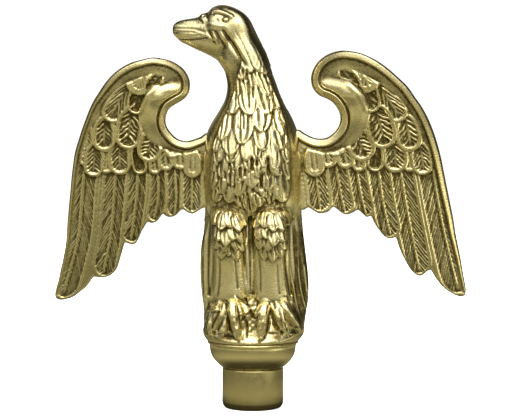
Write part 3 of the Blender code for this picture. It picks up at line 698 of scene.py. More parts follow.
def lumps():
    b = Lumps()
    # neck and torso
    b.stack([
        (30, 238, 255, 5.5, 5.5, 2), (36, 229, 258, 7.4, 7.2, 2), (43, 221, 261, 8.4, 8.2, 2), (50, 217.4, 264.5, 8.8, 8.6, 2), (58.5, 217.0, 267.5, 9.1, 9.0, 2), (64, 220.2, 269.3, 9.4, 9.2, 2),
        (71, 224.6, 271.5, 9.8, 9.4, 2), (78, 226.5, 274.2, 10.2, 9.8, 2), (85, 227.5, 276.8, 10.6, 10.0, 2),
        (92, 227, 279.2, 11.2, 10.4, 2), (100, 225, 282.5, 12.0, 11.0, 2), (106, 222, 285.3, 12.8, 11.6, 2),
        (113, 218, 289.5, 14.0, 12.4, 2), (121, 213, 293.5, 15.4, 13.4, 2.05), (131, 208, 297, 17.0, 14.6, 2.1),
        (142, 206, 299, 18.4, 15.6, 2.15), (155, 204.5, 301, 19.2, 16.2, 2.2), (170, 204, 301.5, 19.4, 16.6, 2.2),
        (185, 204.5, 301.5, 18.8, 16.6, 2.2), (200, 205.5, 301, 17.2, 16.2, 2.2), (212, 208, 298, 14.8, 15.8, 2.1),
        (222, 214, 291, 12.0, 15.0, 2), (230, 222, 282, 8, 12, 2)])
    # tail wraps round the legs from behind
    b.stack([
        (196, 209, 297, 4, 14.0, 2.1), (205, 205.2, 301.2, 6.5, 15.0, 2.1), (215, 205, 301.5, 6.8, 15.4, 2.05),
        (230, 204, 303, 6.6, 15.6, 2.05),
        (245, 201.3, 304.8, 6.2, 16.2, 2.05), (260, 200.3, 306.5, 6.0, 16.8, 2.05), (275, 200.2, 308.2, 5.8, 17.4, 2.05),
        (290, 201.2, 308.7, 5.6, 17.6, 2.05), (303, 202.6, 307.8, 5.6, 17.8, 2.05), (315, 203.2, 306, 5.4, 17.6, 2.05),
        (325, 203.2, 304.8, 5.0, 17.0, 2.05), (333, 205, 302, 4.0, 15.6, 2.1)], yc=0.5)
    # rock, standing on a rounded ledge
    b.stack([
        (292, 228, 276, 8, 8, 2), (297, 220, 285, 11.5, 10, 2), (303, 214, 292, 14.2, 13, 2.0), (310, 209.5, 297.5, 15.8, 15.6, 2.0),
        (318, 206, 301, 16.4, 17.2, 2.0), (324, 204.2, 303.4, 16.2, 18.0, 2.0), (329, 203, 304.4, 16.8, 18.2, 2.0),
        (333, 203.2, 303.6, 18.2, 18.0, 2.0), (336, 204.6, 301.8, 19.2, 17.4, 2.0), (339, 206.8, 299.4, 19.4, 16.6, 2.0)])
    t = 2 * math.pi * np.arange(96) / 96
    b.rings([np.c_[0.1 + r * np.cos(t), r * np.sin(t) * 0.985, np.full(96, z)]
             for z, r in ((ROCK_Z, 20.4), (ROCK_Z + 0.25, 20.75), (ROCK_Z + 0.7, 20.65), (ROCK_Z + 1.2, 20.2), (ROCK_Z + 2.0, 19.3),
                          (ROCK_Z + 2.8, 18.4), (ROCK_Z + 3.4, 17.6), (ROCK_Z + 4.0, 16.2))])
    # head and beak
    b.profile([
        (172.6, 27.5, 32.5, 0.9, 2), (174, 24.2, 35.2, 1.7, 2), (177, 21.8, 38.3, 2.5, 2), (181, 20.2, 42.0, 3.3, 2.1),
        (186, 19.2, 44.4, 4.0, 2.2), (192, 18.3, 47.4, 4.7, 2.2), (198, 16.9, 50.3, 5.3, 2.2), (202.5, 13.6, 52.2, 5.9, 2.2),
        (207.5, 12.2, 54.7, 6.7, 2.2), (211.5, 8.0, 56.7, 7.5, 2.2), (215.5, 5.9, 59.0, 8.1, 2.2), (220, 4.8, 61.0, 8.6, 2.1),
        (226, 5.1, 55, 8.9, 2.1), (232, 6.7, 50, 9.1, 2.1), (238, 9.4, 47, 9.1, 2.1), (244, 13.2, 46, 8.6, 2), (249, 18.4, 45, 7.4, 2),
        (253, 25.2, 43, 5.0, 2), (255.5, 31, 40, 2.0, 2)])
    # back of the neck: fills the nape line
    b.stack([
        (18, 235, 247.3, 6.6, 6.6, 2), (24, 229, 251.6, 8.3, 8.3, 2), (30, 226, 255.2, 8.8, 8.8, 2), (36, 225, 258.1, 8.9, 8.9, 2),
        (42, 225, 260.9, 9.0, 9.0, 2), (50, 224, 264.3, 9.1, 9.1, 2), (60, 224, 268, 9.4, 9.3, 2), (70, 226, 271.0, 9.8, 9.5, 2)])
    # thighs and feathered legs
    b.stack([(212, 246, 254, 5.0, 4, 3), (222, 246, 254, 5.6, 4, 3), (232, 245.4, 254.8, 6.0, 4, 3.4), (244, 244.8, 255.4, 6.3, 4, 3.6),
             (262, 244.4, 255.8, 6.6, 4, 3.6), (278, 244.4, 255.8, 6.8, 4, 3.6), (290, 245, 255.2, 6.6, 4, 3.4), (300, 247, 253, 4, 4, 3)], yc=-9.0)
    for ul, ur, top in ((211.5, 248.4, 202.5), (252.0, 290.5, 202.5)):
        m = (ul + ur) / 2
        c = place(m, 222, -9.8)
        b.ball(c, ((ur - ul) / 2 * UNIT, 10.6, (222 - top) * UNIT), turn=0.0)
        b.stack([
            (216, ul + 4, ur - 4, 8.8, 6, 2.1), (224, ul + 0.3, ur - 0.3, 10.2, 6, 2.2), (236, ul, ur, 10.4, 6, 2.3),
            (244, ul + 0.3, ur - 0.2, 10.0, 6, 2.4), (252, ul + 0.5, ur - 0.2, 8.9, 6, 2.4), (265, ul + 0.6, ur - 0.2, 8.3, 6, 2.4),
            (280, ul + 0.2, ur, 8.2, 6, 2.4), (292, ul, ur + 0.3, 8.3, 6, 2.4), (300, ul + 1, ur, 8.0, 6, 2.3),
            (306, ul + 5, ur - 4, 6.0, 5, 2.1)], yc=-9.8)
    # toes and claws over the rock
    for path in (
        [(222, 300, -14, 2.6), (218, 310, -17.6, 2.5), (214, 320, -18.2, 2.2), (211.5, 329, -17.6, 1.7), (210.5, 334, -17.2, 0.8)],
        [(228, 301, -15, 2.4), (226, 312, -18.6, 2.2), (223.5, 323, -19.6, 1.9), (222.5, 331, -19.6, 1.3), (222, 336, -19.2, 0.6)],
        [(232, 299, -15, 2.9), (233.5, 311, -19.3, 2.8), (236, 323, -20.3, 2.4), (237.8, 332, -20.6, 1.9), (238.6, 339.5, -20.4, 0.8)],
        [(266, 300, -15, 2.8), (263.5, 311, -19.3, 2.7), (261, 323, -20.4, 2.4), (260, 332, -20.7, 1.9), (259.6, 340, -20.5, 0.8)],
        [(273, 301, -15, 2.4), (277.5, 312, -18.6, 2.2), (283, 323, -19.4, 1.9), (286.5, 331, -19.2, 1.5), (288.2, 337, -18.8, 0.7)],
        [(281, 299, -14, 2.8), (287, 309, -17.0, 2.7), (293, 319, -17.0, 2.3), (297.5, 327, -16.2, 1.7), (299.5, 332, -15.6, 0.8)],
        # spur toes behind
        [(240, 300, -12, 2.4), (244, 306, -15.5, 1.8), (246, 312, -16.6, 0.9)],
        [(258, 300, -12, 2.4), (254, 306, -15.5, 1.8), (252, 312, -16.6, 0.9)],
    ):
        b.limb(path)
    return b


def plumage_front():
    r = Relief(190, 320, 0, 350, 0.5)
    # breast feathers, lowest first: tip column, tip row, length, half-width, lift, share of grooving
    for i, (u, tip, length, w, lift, cut) in enumerate((
        (249, 217, 26, 8, 0.8, 1), (240, 207, 24, 7, 0.7, 1), (259, 207, 24, 7.5, 0.7, 1), (229, 203, 26, 8.5, 0.8, 1),
        (216, 202, 26, 7, 0.7, 1), (270, 204, 26, 8, 0.8, 1.2), (249, 199, 24, 7.5, 1.0, 1), (262, 198, 22, 7, 1.0, 0.7),
        (238, 196, 26, 9, 1.0, 0.6), (282, 202, 38, 11, 1.2, 0.5), (222, 194, 30, 8, 0.9, 1.2), (213, 190, 28, 6.5, 0.8, 1.2),
        (252, 188, 26, 8.5, 1.2, 0.5), (268, 190, 26, 7.5, 1.1, 0.8), (232, 186, 26, 8, 1.0, 0.8), (242, 181, 26, 8, 1.2, 1),
        (258, 178, 26, 7.5, 1.3, 1), (223, 178, 30, 8, 1.0, 1.2), (214, 172, 30, 7, 0.9, 1.2), (277, 176, 36, 10, 1.3, 0.5),
        (288, 178, 32, 6, 0.8, 0.8), (236, 170, 26, 7.5, 1.2, 1), (249, 171, 26, 7, 1.2, 1), (264, 168, 26, 7, 1.2, 1),
        (230, 163, 24, 8, 1.0, 1), (219, 162, 26, 7, 0.9, 1), (256, 161, 24, 6.5, 1.2, 1), (216, 152, 26, 6.5, 0.9, 1),
        (231, 156, 30, 10, 1.1, 0.45), (246, 161, 30, 6, 1.3, 0.3), (274, 170, 36, 9.5, 1.3, 0.35), (287, 162, 30, 6, 0.9, 0.8),
        (262, 151, 28, 8.5, 1.2, 0.9), (281, 150, 28, 8, 1.1, 0.8), (222, 141, 32, 7.5, 1.1, 0.9), (242, 145, 36, 11, 1.3, 1),
        (282, 136, 32, 7.5, 0.9, 0.9), (261.5, 133, 34, 10.5, 1.2, 0.8),
    )):
        lean = (u - 249) * 0.12
        bend = 0.8 * math.sin(i * 2.4)
        r.feather([(u - lean * 1.2, tip - length), (u - lean * 0.5 + bend, tip - length * 0.5), (u, tip)], w, 0.1, lift, 0.40, 0.1,
                  0.10, 0.0, 5, 1.5, 1.7, 0.2, grooves=2.6 + 1.2 * math.sin(i * 1.7), groove=0.85 * cut, sharp=1.25)
    for i, (pts, w) in enumerate((
        ([(276, 90), (281, 108), (287, 126)], 6.5),
        ([(266, 72), (272, 92), (278, 110)], 6.5), ([(233, 72), (232, 94), (231.5, 115)], 9.5),
        ([(258, 72), (263, 94), (268, 115)], 9.5), ([(243, 72), (247, 94), (250.5, 116)], 10),
        ([(236, 60), (240, 70), (243, 80)], 6), ([(256, 64), (262, 78), (268, 96)], 7.5),
        ([(226, 26), (238, 46), (251, 73)], 8.5), ([(240, 22), (254, 46), (265, 74)], 9.5),
    )):
        nape = pts[0][1] < 30
        r.feather(pts, w, 0.2, 0.9, 0.35, 0.08, 0.08, 0.0, 5, 1.5, 1.5, 0.1, grooves=3.6 + math.sin(i * 2.1) + 2 * nape,
                  groove=0.16 if nape else 0.6, sharp=1.25)
    # gaps between the breast feathers
    for pts, w, d in (
        ([(252, 156), (252, 172)], 1.2, -1.4), ([(256.5, 156), (257, 167)], 1.0, -1.2), ([(240.5, 166), (241, 181)], 1.2, -1.3),
        ([(262, 170), (261, 191)], 1.3, -1.3), ([(267.5, 155), (268.7, 179)], 1.2, -1.4), ([(225, 170), (226, 180)], 1.0, -1.1),
        ([(230.5, 158), (230.5, 190)], 1.0, -0.8), ([(250, 188), (256, 192), (263, 198)], 1.2, -1.0),
        ([(247.5, 191), (249, 202), (250, 213)], 1.2, -1.0), ([(239, 196), (243, 206), (248, 215)], 1.2, -0.9),
        ([(270, 195), (272, 205)], 1.0, -1.1), ([(266, 196), (267, 206)], 0.9, -1.0), ([(276, 198), (277, 206)], 0.9, -0.9),
        ([(217, 164), (218, 182)], 0.9, -0.9), ([(221.5, 176), (222, 198)], 0.9, -0.8), ([(234.5, 172), (235, 190)], 0.9, -0.8),
        ([(245, 168), (246, 178)], 0.9, -0.9), ([(236, 89), (235.5, 101)], 0.9, -0.9), ([(239.5, 77), (239.5, 97)], 0.9, -0.9),
        ([(247.5, 78), (249, 98), (250, 112)], 1.0, -1.0), ([(252.5, 86), (253.5, 100)], 0.9, -0.8),
        ([(256.5, 84), (259, 91), (262, 102), (265, 113)], 1.0, -0.9), ([(271.5, 99), (276, 108)], 1.0, -1.0),
        ([(269, 99), (268.5, 112)], 0.8, -0.7), ([(243, 66), (243, 86)], 1.0, -0.8), ([(247, 68), (246, 82)], 0.9, -0.8),
        ([(232, 116), (233, 130)], 0.8, -0.6), ([(238, 115), (238.5, 131)], 0.8, -0.6), ([(243, 112), (244, 132)], 0.9, -0.7),
    ):
        r.stroke(pts, w, d)
    # uneven fibres
    grain = np.c_[r.X.ravel() / 1.5, r.Y.ravel() / 7.0, np.zeros(r.X.size)]
    r.H += ((rough(grain, 1.0, 2.7) - 0.5) * 0.34).reshape(r.X.shape) * ease((235 - r.Y) / 30) * ease((r.Y - 50) / 20)
    keep = ease((r.X - edge_of(r.Y, THROAT)) / 3.0) * ease((edge_of(r.Y, FLANK) - r.X) / 2.5)
    keep = keep * ease((r.Y - 0.35 * (r.X - 225) - 22) / 22)
    r.H = r.H * keep
    # thigh feathers, lowest row first: tip column, tip row, lift
    for row in (
        ((221, 259, 0.35), (229, 256, 0.35), (237, 261, 0.3), (264, 260, 0.3), (273, 262, 0.3), (281, 258, 0.35)),
        ((216, 249, 0.7), (225, 252, 0.8), (236, 250, 0.7), (243, 252, 0.5), (259, 249, 0.6), (268, 251, 0.8), (284, 250, 0.7)),
        ((219, 241, 1.3), (226, 246, 1.5), (233, 240.5, 1.4), (241, 243, 1.0), (259, 240, 1.0), (266, 239, 1.3), (274, 246, 1.4),
         (282, 242, 1.3)),
        ((215, 225, 1.0), (222, 230.5, 1.5), (230, 228, 1.3), (238, 232, 1.5), (244, 227, 1.0), (256, 229, 1.0), (265, 228, 1.4),
         (273, 232, 1.4), (281, 231, 1.5), (287, 226, 0.9)),
    ):
        for u, tip, lift in row:
            side = 1 if u < 250 else -1
            cx = 229.5 if u < 250 else 271.5
            r.feather([(cx + (u - cx) * 0.74, tip - 18), (cx + (u - cx) * 0.9, tip - 9), (u, tip)], 6.2, 0.0, 1.3 * lift, 0.3, 0.08,
                      0.12, 0, 5, 1.5, 1.8, 0.2, grooves=2.4 + 0.7 * math.sin(u), groove=0.42, sharp=1.5)
    # folds in the leg feathers
    for pts, w, d in (
        ([(213.5, 246), (212.5, 272), (208, 304)], 1.1, -0.40), ([(217, 250), (216.5, 274), (213, 304)], 1.1, 0.28),
        ([(220, 258), (219.2, 280), (216.5, 302)], 1.0, -0.28), ([(234, 258), (237, 278), (240, 298)], 1.2, -0.34),
        ([(239, 252), (242, 274), (245, 294)], 1.3, 0.14), ([(243, 246), (245, 264), (246.5, 286)], 1.0, -0.30),
        ([(250, 196), (250, 228), (250.3, 264), (250.6, 302)], 2.0, -0.8), ([(255.5, 246), (256, 266), (255.5, 290)], 1.2, 0.2),
        ([(259, 256), (260, 274), (260, 296)], 1.2, -0.30), ([(246.5, 262), (246.8, 276), (247.4, 292)], 0.9, -0.35),
        ([(277, 262), (278.5, 282), (281, 303)], 1.1, -0.28), ([(281.5, 254), (283.5, 278), (288, 303)], 1.1, 0.32),
        ([(285, 248), (287, 274), (293, 306)], 1.2, -0.55), ([(288, 240), (290, 268), (297, 308)], 1.2, 0.45),
        ([(232, 254), (233, 262), (235, 272)], 1.1, 0.2), ([(262, 256), (264, 264), (265, 274)], 1.1, 0.2),
        # trailing feathers at the sides
        ([(207, 222), (204.5, 250), (205, 284), (207.5, 318)], 1.2, 0.5), ([(210.5, 216), (208.5, 250), (208.5, 290), (211, 312)], 1.1, -0.5),
        ([(203, 250), (202.5, 276), (204, 300)], 1.1, -0.35), ([(293.5, 216), (295.5, 252), (299, 290), (304, 314)], 1.5, -0.6),
        ([(299, 244), (301, 268), (304.5, 292), (308, 306)], 0.9, -0.55), ([(297, 262), (299.5, 284), (304, 304), (307, 314)], 0.8, 0.55),
        ([(295, 272), (297, 292), (302, 312), (305, 320)], 0.8, -0.5), ([(293, 280), (295, 298), (300, 316), (303, 324)], 0.8, 0.5),
        ([(291, 288), (293.5, 304), (298, 320)], 0.8, -0.5), ([(304, 262), (306, 284), (308, 298)], 0.8, 0.4),
        # claws' creases
        ([(229, 314), (231, 326), (234, 338)], 1.0, -0.4), ([(266, 314), (265.5, 326), (263.5, 337)], 1.0, -0.4),
    ):
        r.stroke(pts, w, d)
    for spine, w, h in (
        ([(231.5, 297), (233, 315), (237.5, 339)], 6.8, 1.15), ([(265, 301), (262.5, 318), (260.5, 340)], 7.0, 1.15),
        ([(226, 302), (220, 316), (213, 331)], 4.8, 1.1), ([(279, 301), (289, 313), (298.5, 327)], 4.8, 1.1),
        ([(214, 302), (209, 316), (210.5, 336)], 4.0, 1.0),
    ):
        r.toe(spine, w, h)
    for ring in (
        ((234, 295, 0.2), (250, 309, 1.3), (241, 320, 2.1)), ((225.5, 318, 0.0), (231, 333, 1.3), (218.5, 333, 1.3)),
        ((272, 318, 0.0), (280, 333, 1.3), (267.5, 333, 1.3)), ((218, 304, 0.2), (219, 311, 1.6), (208, 312, 1.7)),
        ((279, 306, 1.2), (297, 327, 0.2), (284, 329, 1.0)), ((244, 295, 0.1), (258, 294, 0.1), (251, 306, 2.0)),
        ((250, 307, 0.5), (268, 305, 0.5), (256, 318, 1.8)),
    ):
        r.facet(ring)
    for pts, w, d in (
        ([(228.5, 312), (230, 324), (234, 336), (239, 341)], 1.1, -0.8), ([(269, 314), (267, 326), (264, 337), (259, 342)], 1.1, -0.8),
        ([(236.5, 316), (237, 328)], 0.9, -0.5), ([(261, 318), (259.5, 329)], 0.9, -0.5), ([(221, 309), (216, 320), (211, 331)], 1.1, -0.9),
        ([(246, 318), (247, 330), (246, 339)], 1.0, -0.6), ([(273, 300), (275, 309)], 1.5, -0.9), ([(284, 322), (289, 333)], 1.5, -0.9),
        ([(205, 320), (207, 334)], 1.1, -0.7), ([(226, 300), (228, 310)], 1.3, -0.8),
    ):
        r.stroke(pts, w, d)
    for c, q in (((238, 333.5), (2.4, 3.4)), ((261, 333.5), (2.4, 3.4)), ((283, 332), (2.6, 3.2)), ((213.5, 333), (2.2, 2.6))):
        r.bump(c, (q[0] + 1.4, q[1] + 1.4), 0, 0.35, 2)
        r.bump(c, q, 0, -0.75, 2)
    face(r)
    r.soften(1)
    return r


def face(r):
    """Beak, mouth, eye and brow; the same on both sides of the head."""
    H = r.H
    # gape: the upper beak stands over the lower one
    line = curve([(176, 36.5), (182, 39.0), (190, 39.3), (200, 38.6), (207, 37.6), (212, 40.5)], 5, closed=False)
    got = r.local(line, 8)
    if got:
        win, d, arc, a = got
        H[win] += np.where(a < 0, 0.32, -0.15) * np.exp(-(d / 4.0) ** 2)
    r.stroke([(176, 36.5), (182, 39.0), (190, 39.3), (200, 38.6), (207, 37.6), (212, 40.5)], 1.1, -0.4)
    r.stroke([(178, 31.5), (185, 28.8), (194, 28.8), (203, 31.5), (207, 34)], 1.1, -0.28)
    r.stroke([(180, 35.0), (187, 36.4), (196, 36.0), (203, 34.4)], 1.0, -0.22)
    r.stroke([(184, 32.4), (190, 32.0), (197, 33.0)], 0.9, -0.22)
    # cere and nostril
    r.bump((202.5, 17.0), (3.8, 3.4), 0, 0.5, 2)
    r.bump((203.8, 16.6), (0.9, 1.1), 0, -0.6)
    r.bump((207.6, 19.6), (2.0, 1.6), 0, 0.35)
    r.stroke([(198.2, 15), (199.6, 20), (204, 24)], 0.8, -0.35)
    r.stroke([(207.8, 11), (206.6, 16), (209, 22)], 0.9, -0.55)
    # cheek and brow
    r.bump((212.5, 16), (4.6, 4.2), 20, 0.38, 1.6)
    r.bump((218.6, 15.5), (4.2, 4.6), 0, 0.32, 1.6)
    r.bump((215, 24.5), (8.5, 4.0), 12, 0.6, 1.5)
    r.bump((230.5, 17.5), (3.0, 2.6), 0, 0.25, 1.6)
    r.stroke([(209, 10.5), (217, 10.6), (226, 13.6), (236, 19)], 1.7, 0.7)
    r.stroke([(211, 13.6), (219, 14.2), (227, 17)], 0.9, -0.45)
    r.stroke([(216.5, 17.5), (219, 22), (224, 25.4)], 0.9, -0.3)
    # eye in its socket
    r.bump((225.4, 19.6), (4.0, 3.4), 0, -0.35, 2)
    r.bump((225.2, 19.5), (2.5, 2.2), 0, 0.8, cap=True)
    # jaw line and the dark fold behind the cheek
    r.stroke([(208, 28), (209, 33), (212, 38), (216, 45)], 1.3, -0.55)
    r.stroke([(212, 30), (214, 35), (217, 41)], 0.9, 0.35)
    r.stroke([(221.5, 25), (224.5, 33), (232, 44), (241, 57), (249, 71)], 1.9, -1.0)
    r.stroke([(211, 29), (216, 37), (220, 46)], 1.6, -0.22)
    r.stroke([(214, 29), (219, 37), (225, 47)], 1.2, -0.25)


# smooth throat's edge and the smooth flank's edge: row, column
THROAT = [(0, 215), (14, 222), (26, 223), (34, 226), (48, 236), (62, 240), (70, 238), (78, 236), (90, 233.5), (100, 230.5),
          (110, 227), (120, 221), (130, 218), (142, 213), (160, 210), (200, 210), (218, 212), (350, 212)]
FLANK = [(0, 300), (40, 285), (50, 277), (60, 272), (70, 271), (80, 271), (90, 274), (100, 278), (110, 282), (120, 285), (130, 288), (140, 290),
         (160, 290), (185, 291), (200, 288), (218, 290), (350, 290)]


def edge_of(v, line):
    a = np.array(line, float)
    return np.interp(v, a[:, 0], a[:, 1])


def plumage_back():
    """The side that faces away: back scales, then long tail feathers."""
    r = Relief(190, 320, 0, 350, 0.5)
    for pts, w in (
        ([(212, 215), (209, 260), (208, 322)], 6.5), ([(294, 215), (299, 260), (299, 322)], 6.5),
        ([(222, 210), (219, 260), (218, 330)], 7.5), ([(284, 210), (288, 260), (289, 330)], 7.5),
        ([(233, 205), (231, 260), (230, 334)], 8), ([(273, 205), (276, 260), (277, 334)], 8),
        ([(246, 200), (244.5, 260), (243.5, 336)], 8), ([(260, 200), (262, 260), (263, 336)], 8),
        ([(253, 196), (253, 260), (253, 338)], 8.5),
    ):
        r.feather(pts, w, 0.0, 0.5, 0.45, 0.2, 0.35, 0.34, 5.0, 1.6, 1.2, 0.1)
    k = 0
    for tip in np.arange(222, 92, -13.0):
        k += 1
        half = np.interp(tip, (92, 140, 222), (22, 44, 44))
        count = 4 if tip > 118 else 3
        for i in range(-count, count + 1):
            u = 252.8 + (i + 0.5 * (k % 2)) * 12.5
            if abs(u - 252.8) > half:
                continue
            lean = (u - 252.8) * 0.06
            r.feather([(u - lean, tip - 24), (u, tip - 12), (u + lean, tip)], 7.6, 0.1, 0.6, 0.3, 0.22, 0.22, 0.22, 3.8, 1.2, 1.1, 0.2)
    for pts, w in (
        ([(231, 80), (232, 96), (232, 113)], 8), ([(243, 78), (247, 96), (250, 114)], 9.5),
        ([(258, 76), (263, 94), (267, 111)], 9), ([(268, 78), (274, 92), (279, 108)], 7),
        ([(238, 64), (241, 74), (243, 86)], 6), ([(250, 56), (259, 72), (266, 90)], 8.5),
        ([(233, 34), (241, 52), (252, 75)], 9.5), ([(246, 26), (257, 48), (269, 77)], 8.5),
        ([(228, 16), (238, 24), (250, 40)], 6.5),
    ):
        r.feather(pts, w, 0.2, 0.6, 0.35, 0.12, 0.15, 0.0, 5, 1.5, 1.6, 0.25, grooves=6, groove=0.30, sharp=1.2)
    keep = ease((r.X - edge_of(np.minimum(r.Y, 112), THROAT)) / 3.0)
    r.H = np.where(r.Y < 122, r.H * keep, r.H)
    face(r)
    r.soften(1)
    return r


def rough(p, scale, seed):
    """Smooth repeatable value noise in 0..1 at points p (mm)."""
    q = p / scale + seed
    i = np.floor(q).astype(int)
    f = q - i
    f = f * f * (3 - 2 * f)
    out = np.zeros(len(p))
    for dx in (0, 1):
        for dy in (0, 1):
            for dz in (0, 1):
                n = (i[:, 0] + dx) * 73856093 ^ (i[:, 1] + dy) * 19349663 ^ (i[:, 2] + dz) * 83492791
                n = (n ^ (n >> 13)) * 1274126177
                val = ((n ^ (n >> 16)) & 0xFFFF) / 65535.0
                w = (f[:, 0] if dx else 1 - f[:, 0]) * (f[:, 1] if dy else 1 - f[:, 1]) * (f[:, 2] if dz else 1 - f[:, 2])
                out += w * val
    return out


def relax(me, p, share, times):
    """Evens out the skin where share (0..1) allows it."""
    e = np.empty(len(me.edges) * 2, np.int32)
    me.edges.foreach_get("vertices", e)
    e = e.reshape(-1, 2)
    e = e[(share[e[:, 0]] > 0) | (share[e[:, 1]] > 0)]
    a, b = np.r_[e[:, 0], e[:, 1]], np.r_[e[:, 1], e[:, 0]]
    ids, k = np.unique(a, return_inverse=True)
    count = np.bincount(k)[:, None]
    for _ in range(times):
        mean = np.stack([np.bincount(k, p[b, i]) for i in range(3)], 1) / count
        p[ids] += (mean - p[ids]) * (0.6 * share[ids])[:, None]
    return p


def make_body():
    ob = lumps().skin("eagle_cast")
    me = ob.data
    n = len(me.vertices)
    p = np.empty(n * 3, np.float32)
    me.vertices.foreach_get("co", p)
    p = p.reshape(-1, 3).astype(float) / MM
    # the neck grows out of the head, and the tail runs into the rock, without a crease
    u, v = draw(p)
    nape = ease((u - 224) / 6) * ease((262 - u) / 4) * ease((v - 22) / 6) * ease((50 - v) / 6)
    seam = ease((np.abs(u - 252) - 33) / 6) * ease((v - 300) / 6) * ease((330 - v) / 6)
    p = relax(me, p, np.maximum(nape, seam), 80)
    me.vertices.foreach_set("co", (p * MM).astype(np.float32).ravel())
    me.update()
    nrm = np.empty(n * 3, np.float32)
    me.vertices.foreach_get("normal", nrm)
    nrm = nrm.reshape(-1, 3).astype(float)
    u, v = draw(p)
    facing = -(nrm @ FWD)
    front = ease((facing - 0.05) / 0.35)
    back = ease((-facing - 0.05) / 0.35) * ease((p[:, 1] - 0.5) / 2.5)
    pf, pb = plumage_front(), plumage_back()
    h = pf.at(u, v) * front + pb.at(u, v) * back
    deep = pf.cavity().at(u, v) * front + pb.cavity().at(u, v) * back
    # rock texture over the front of the base, strongest in the middle
    z = p[:, 2]
    zone = ease((46 - z) / 4) * ease((z - (ROCK_Z + 3.5)) / 1.0) * ease((2 - p[:, 1]) / 4) * ease((u - 206) / 5) * ease((297 - u) / 6)
    rock = (rough(p, 3.4, 11.3) - 0.5) * 2.0 + (rough(p, 1.5, 5.7) - 0.5) * 1.1
    center = np.exp(-((u - 251) / 9.0) ** 2)
    h += zone * rock * (0.28 + 0.5 * center)
    p += nrm * h[:, None]
    # sunk heads of the two screws that close the casting
    for zs in (84.0, 112.0):
        r = np.hypot(p[:, 0], p[:, 2] - zs)
        hit = (r < 3.5) & (nrm[:, 1] > 0.2)
        floor = 10.2 + np.clip((r - 3.1) / 0.4, 0, 1) * 8
        p[hit, 1] = np.minimum(p[hit, 1], floor[hit])
    p[:, 2] = np.where(p[:, 2] < ROCK_Z, ROCK_Z, p[:, 2])
    me.vertices.foreach_set("co", (p * MM).astype(np.float32).ravel())
    me.update()
    me.shade_smooth()
    me.update()
    # painted shade: the recesses' depth is darkened, less of it towards the bottom near the rock; the right side of the
    # tail (side) and the throat beside the cheek fold (throat) are darkened as painted shade too
    low = ease((z - ROCK_Z - 4) / 12)
    fold = np.interp(v, (28, 42, 54, 68), (212, 222, 232, 242))
    throat = 0.2 * np.exp(-((u - fold) / 6.0) ** 2) * ease((v - 26) / 8) * ease((76 - v) / 8)
    side = ease((u - 291) / 6) * ease((z - ROCK_Z - 5) / 8) * ease((v - 220) / 16)
    mark(ob, (0.5 * deep + 0.8 * sunken(ob, 8) + 0.45 * sunken(ob, 60)) * (0.6 + 0.4 * low) + 0.34 * side * ease(facing + 0.6) + throat)
    print("body faces", len(me.polygons))
    return ob


def spun(name, profile, seg=144):
    """Turned piece: closed (radius, z) profile in mm."""
    prof = np.array(profile, float)
    t = 2 * math.pi * np.arange(seg) / seg
    m = len(prof)
    v = np.stack([prof[None, :, 0] * np.cos(t)[:, None], prof[None, :, 0] * np.sin(t)[:, None],
                  np.repeat(prof[None, :, 1], seg, 0)], 2).reshape(-1, 3)
    f = []
    for j in range(seg):
        k = (j + 1) % seg
        for i in range(m):
            h = (i + 1) % m
            f.append((j * m + i, k * m + i, k * m + h, j * m + h))
    ob = mesh_object(name, v, f)
    bm = bmesh.new()
    bm.from_mesh(ob.data)
    bmesh.ops.recalc_face_normals(bm, faces=bm.faces)
    if bm.calc_volume(signed=True) < 0:
        bmesh.ops.reverse_faces(bm, faces=bm.faces)
    for face_ in bm.faces:
        face_.smooth = True
    for e in bm.edges:
        if len(e.link_faces) == 2 and e.calc_face_angle(0) > math.radians(38):
            e.smooth = False
    bm.to_mesh(ob.data)
    bm.free()
    return ob


def arc_pts(c, r, a0, a1, n):
    """Points on an arc in the (radius, z) plane, degrees from +radius towards +z."""
    out = []
    for i in range(n + 1):
        a = math.radians(a0 + (a1 - a0) * i / n)
        out.append((c[0] + (r[0] if isinstance(r, tuple) else r) * math.cos(a), c[1] + (r[1] if isinstance(r, tuple) else r) * math.sin(a)))
    return out


def make_cup():
    bowl = curve([(13.5, 18.25), (14.6, 18.8), (16.3, 20.5), (17.7, 22.3), (18.55, 24.1), (18.95, 25.7), (19.15, 27.2), (19.15, 28.1)],
                 4, closed=False)
    prof = [(6.9, 12.0), (10.6, 12.0), (10.9, 12.3), (10.9, 18.2), (12.4, 18.2), (13.2, 18.2)]
    prof += [tuple(q) for q in bowl]
    prof += [(19.0, 28.25), (19.0, 28.35), (19.3, 28.5)] + arc_pts((19.35, 29.3), (0.85, 0.7), -50, 85, 9)
    prof += [(18.8, CUP_TOP), (14.6, CUP_TOP), (14.0, 27.0), (11.6, 25.0), (3.4, 24.4), (3.4, 19.6), (6.9, 19.6)]
    return spun("cup_turned", prof)


def make_ferrule():
    lip = arc_pts((13.5 - 1.9, 2.9), (1.9, 2.9), -90, 0, 12)
    prof = [(11.2, 0.0)] + lip + [(13.5, 17.0)] + arc_pts((13.0, 17.4), 0.5, 0, 90, 5) + [(11.7, 17.9), (11.2, 17.6)]
    return spun("ferrule_turned", prof)


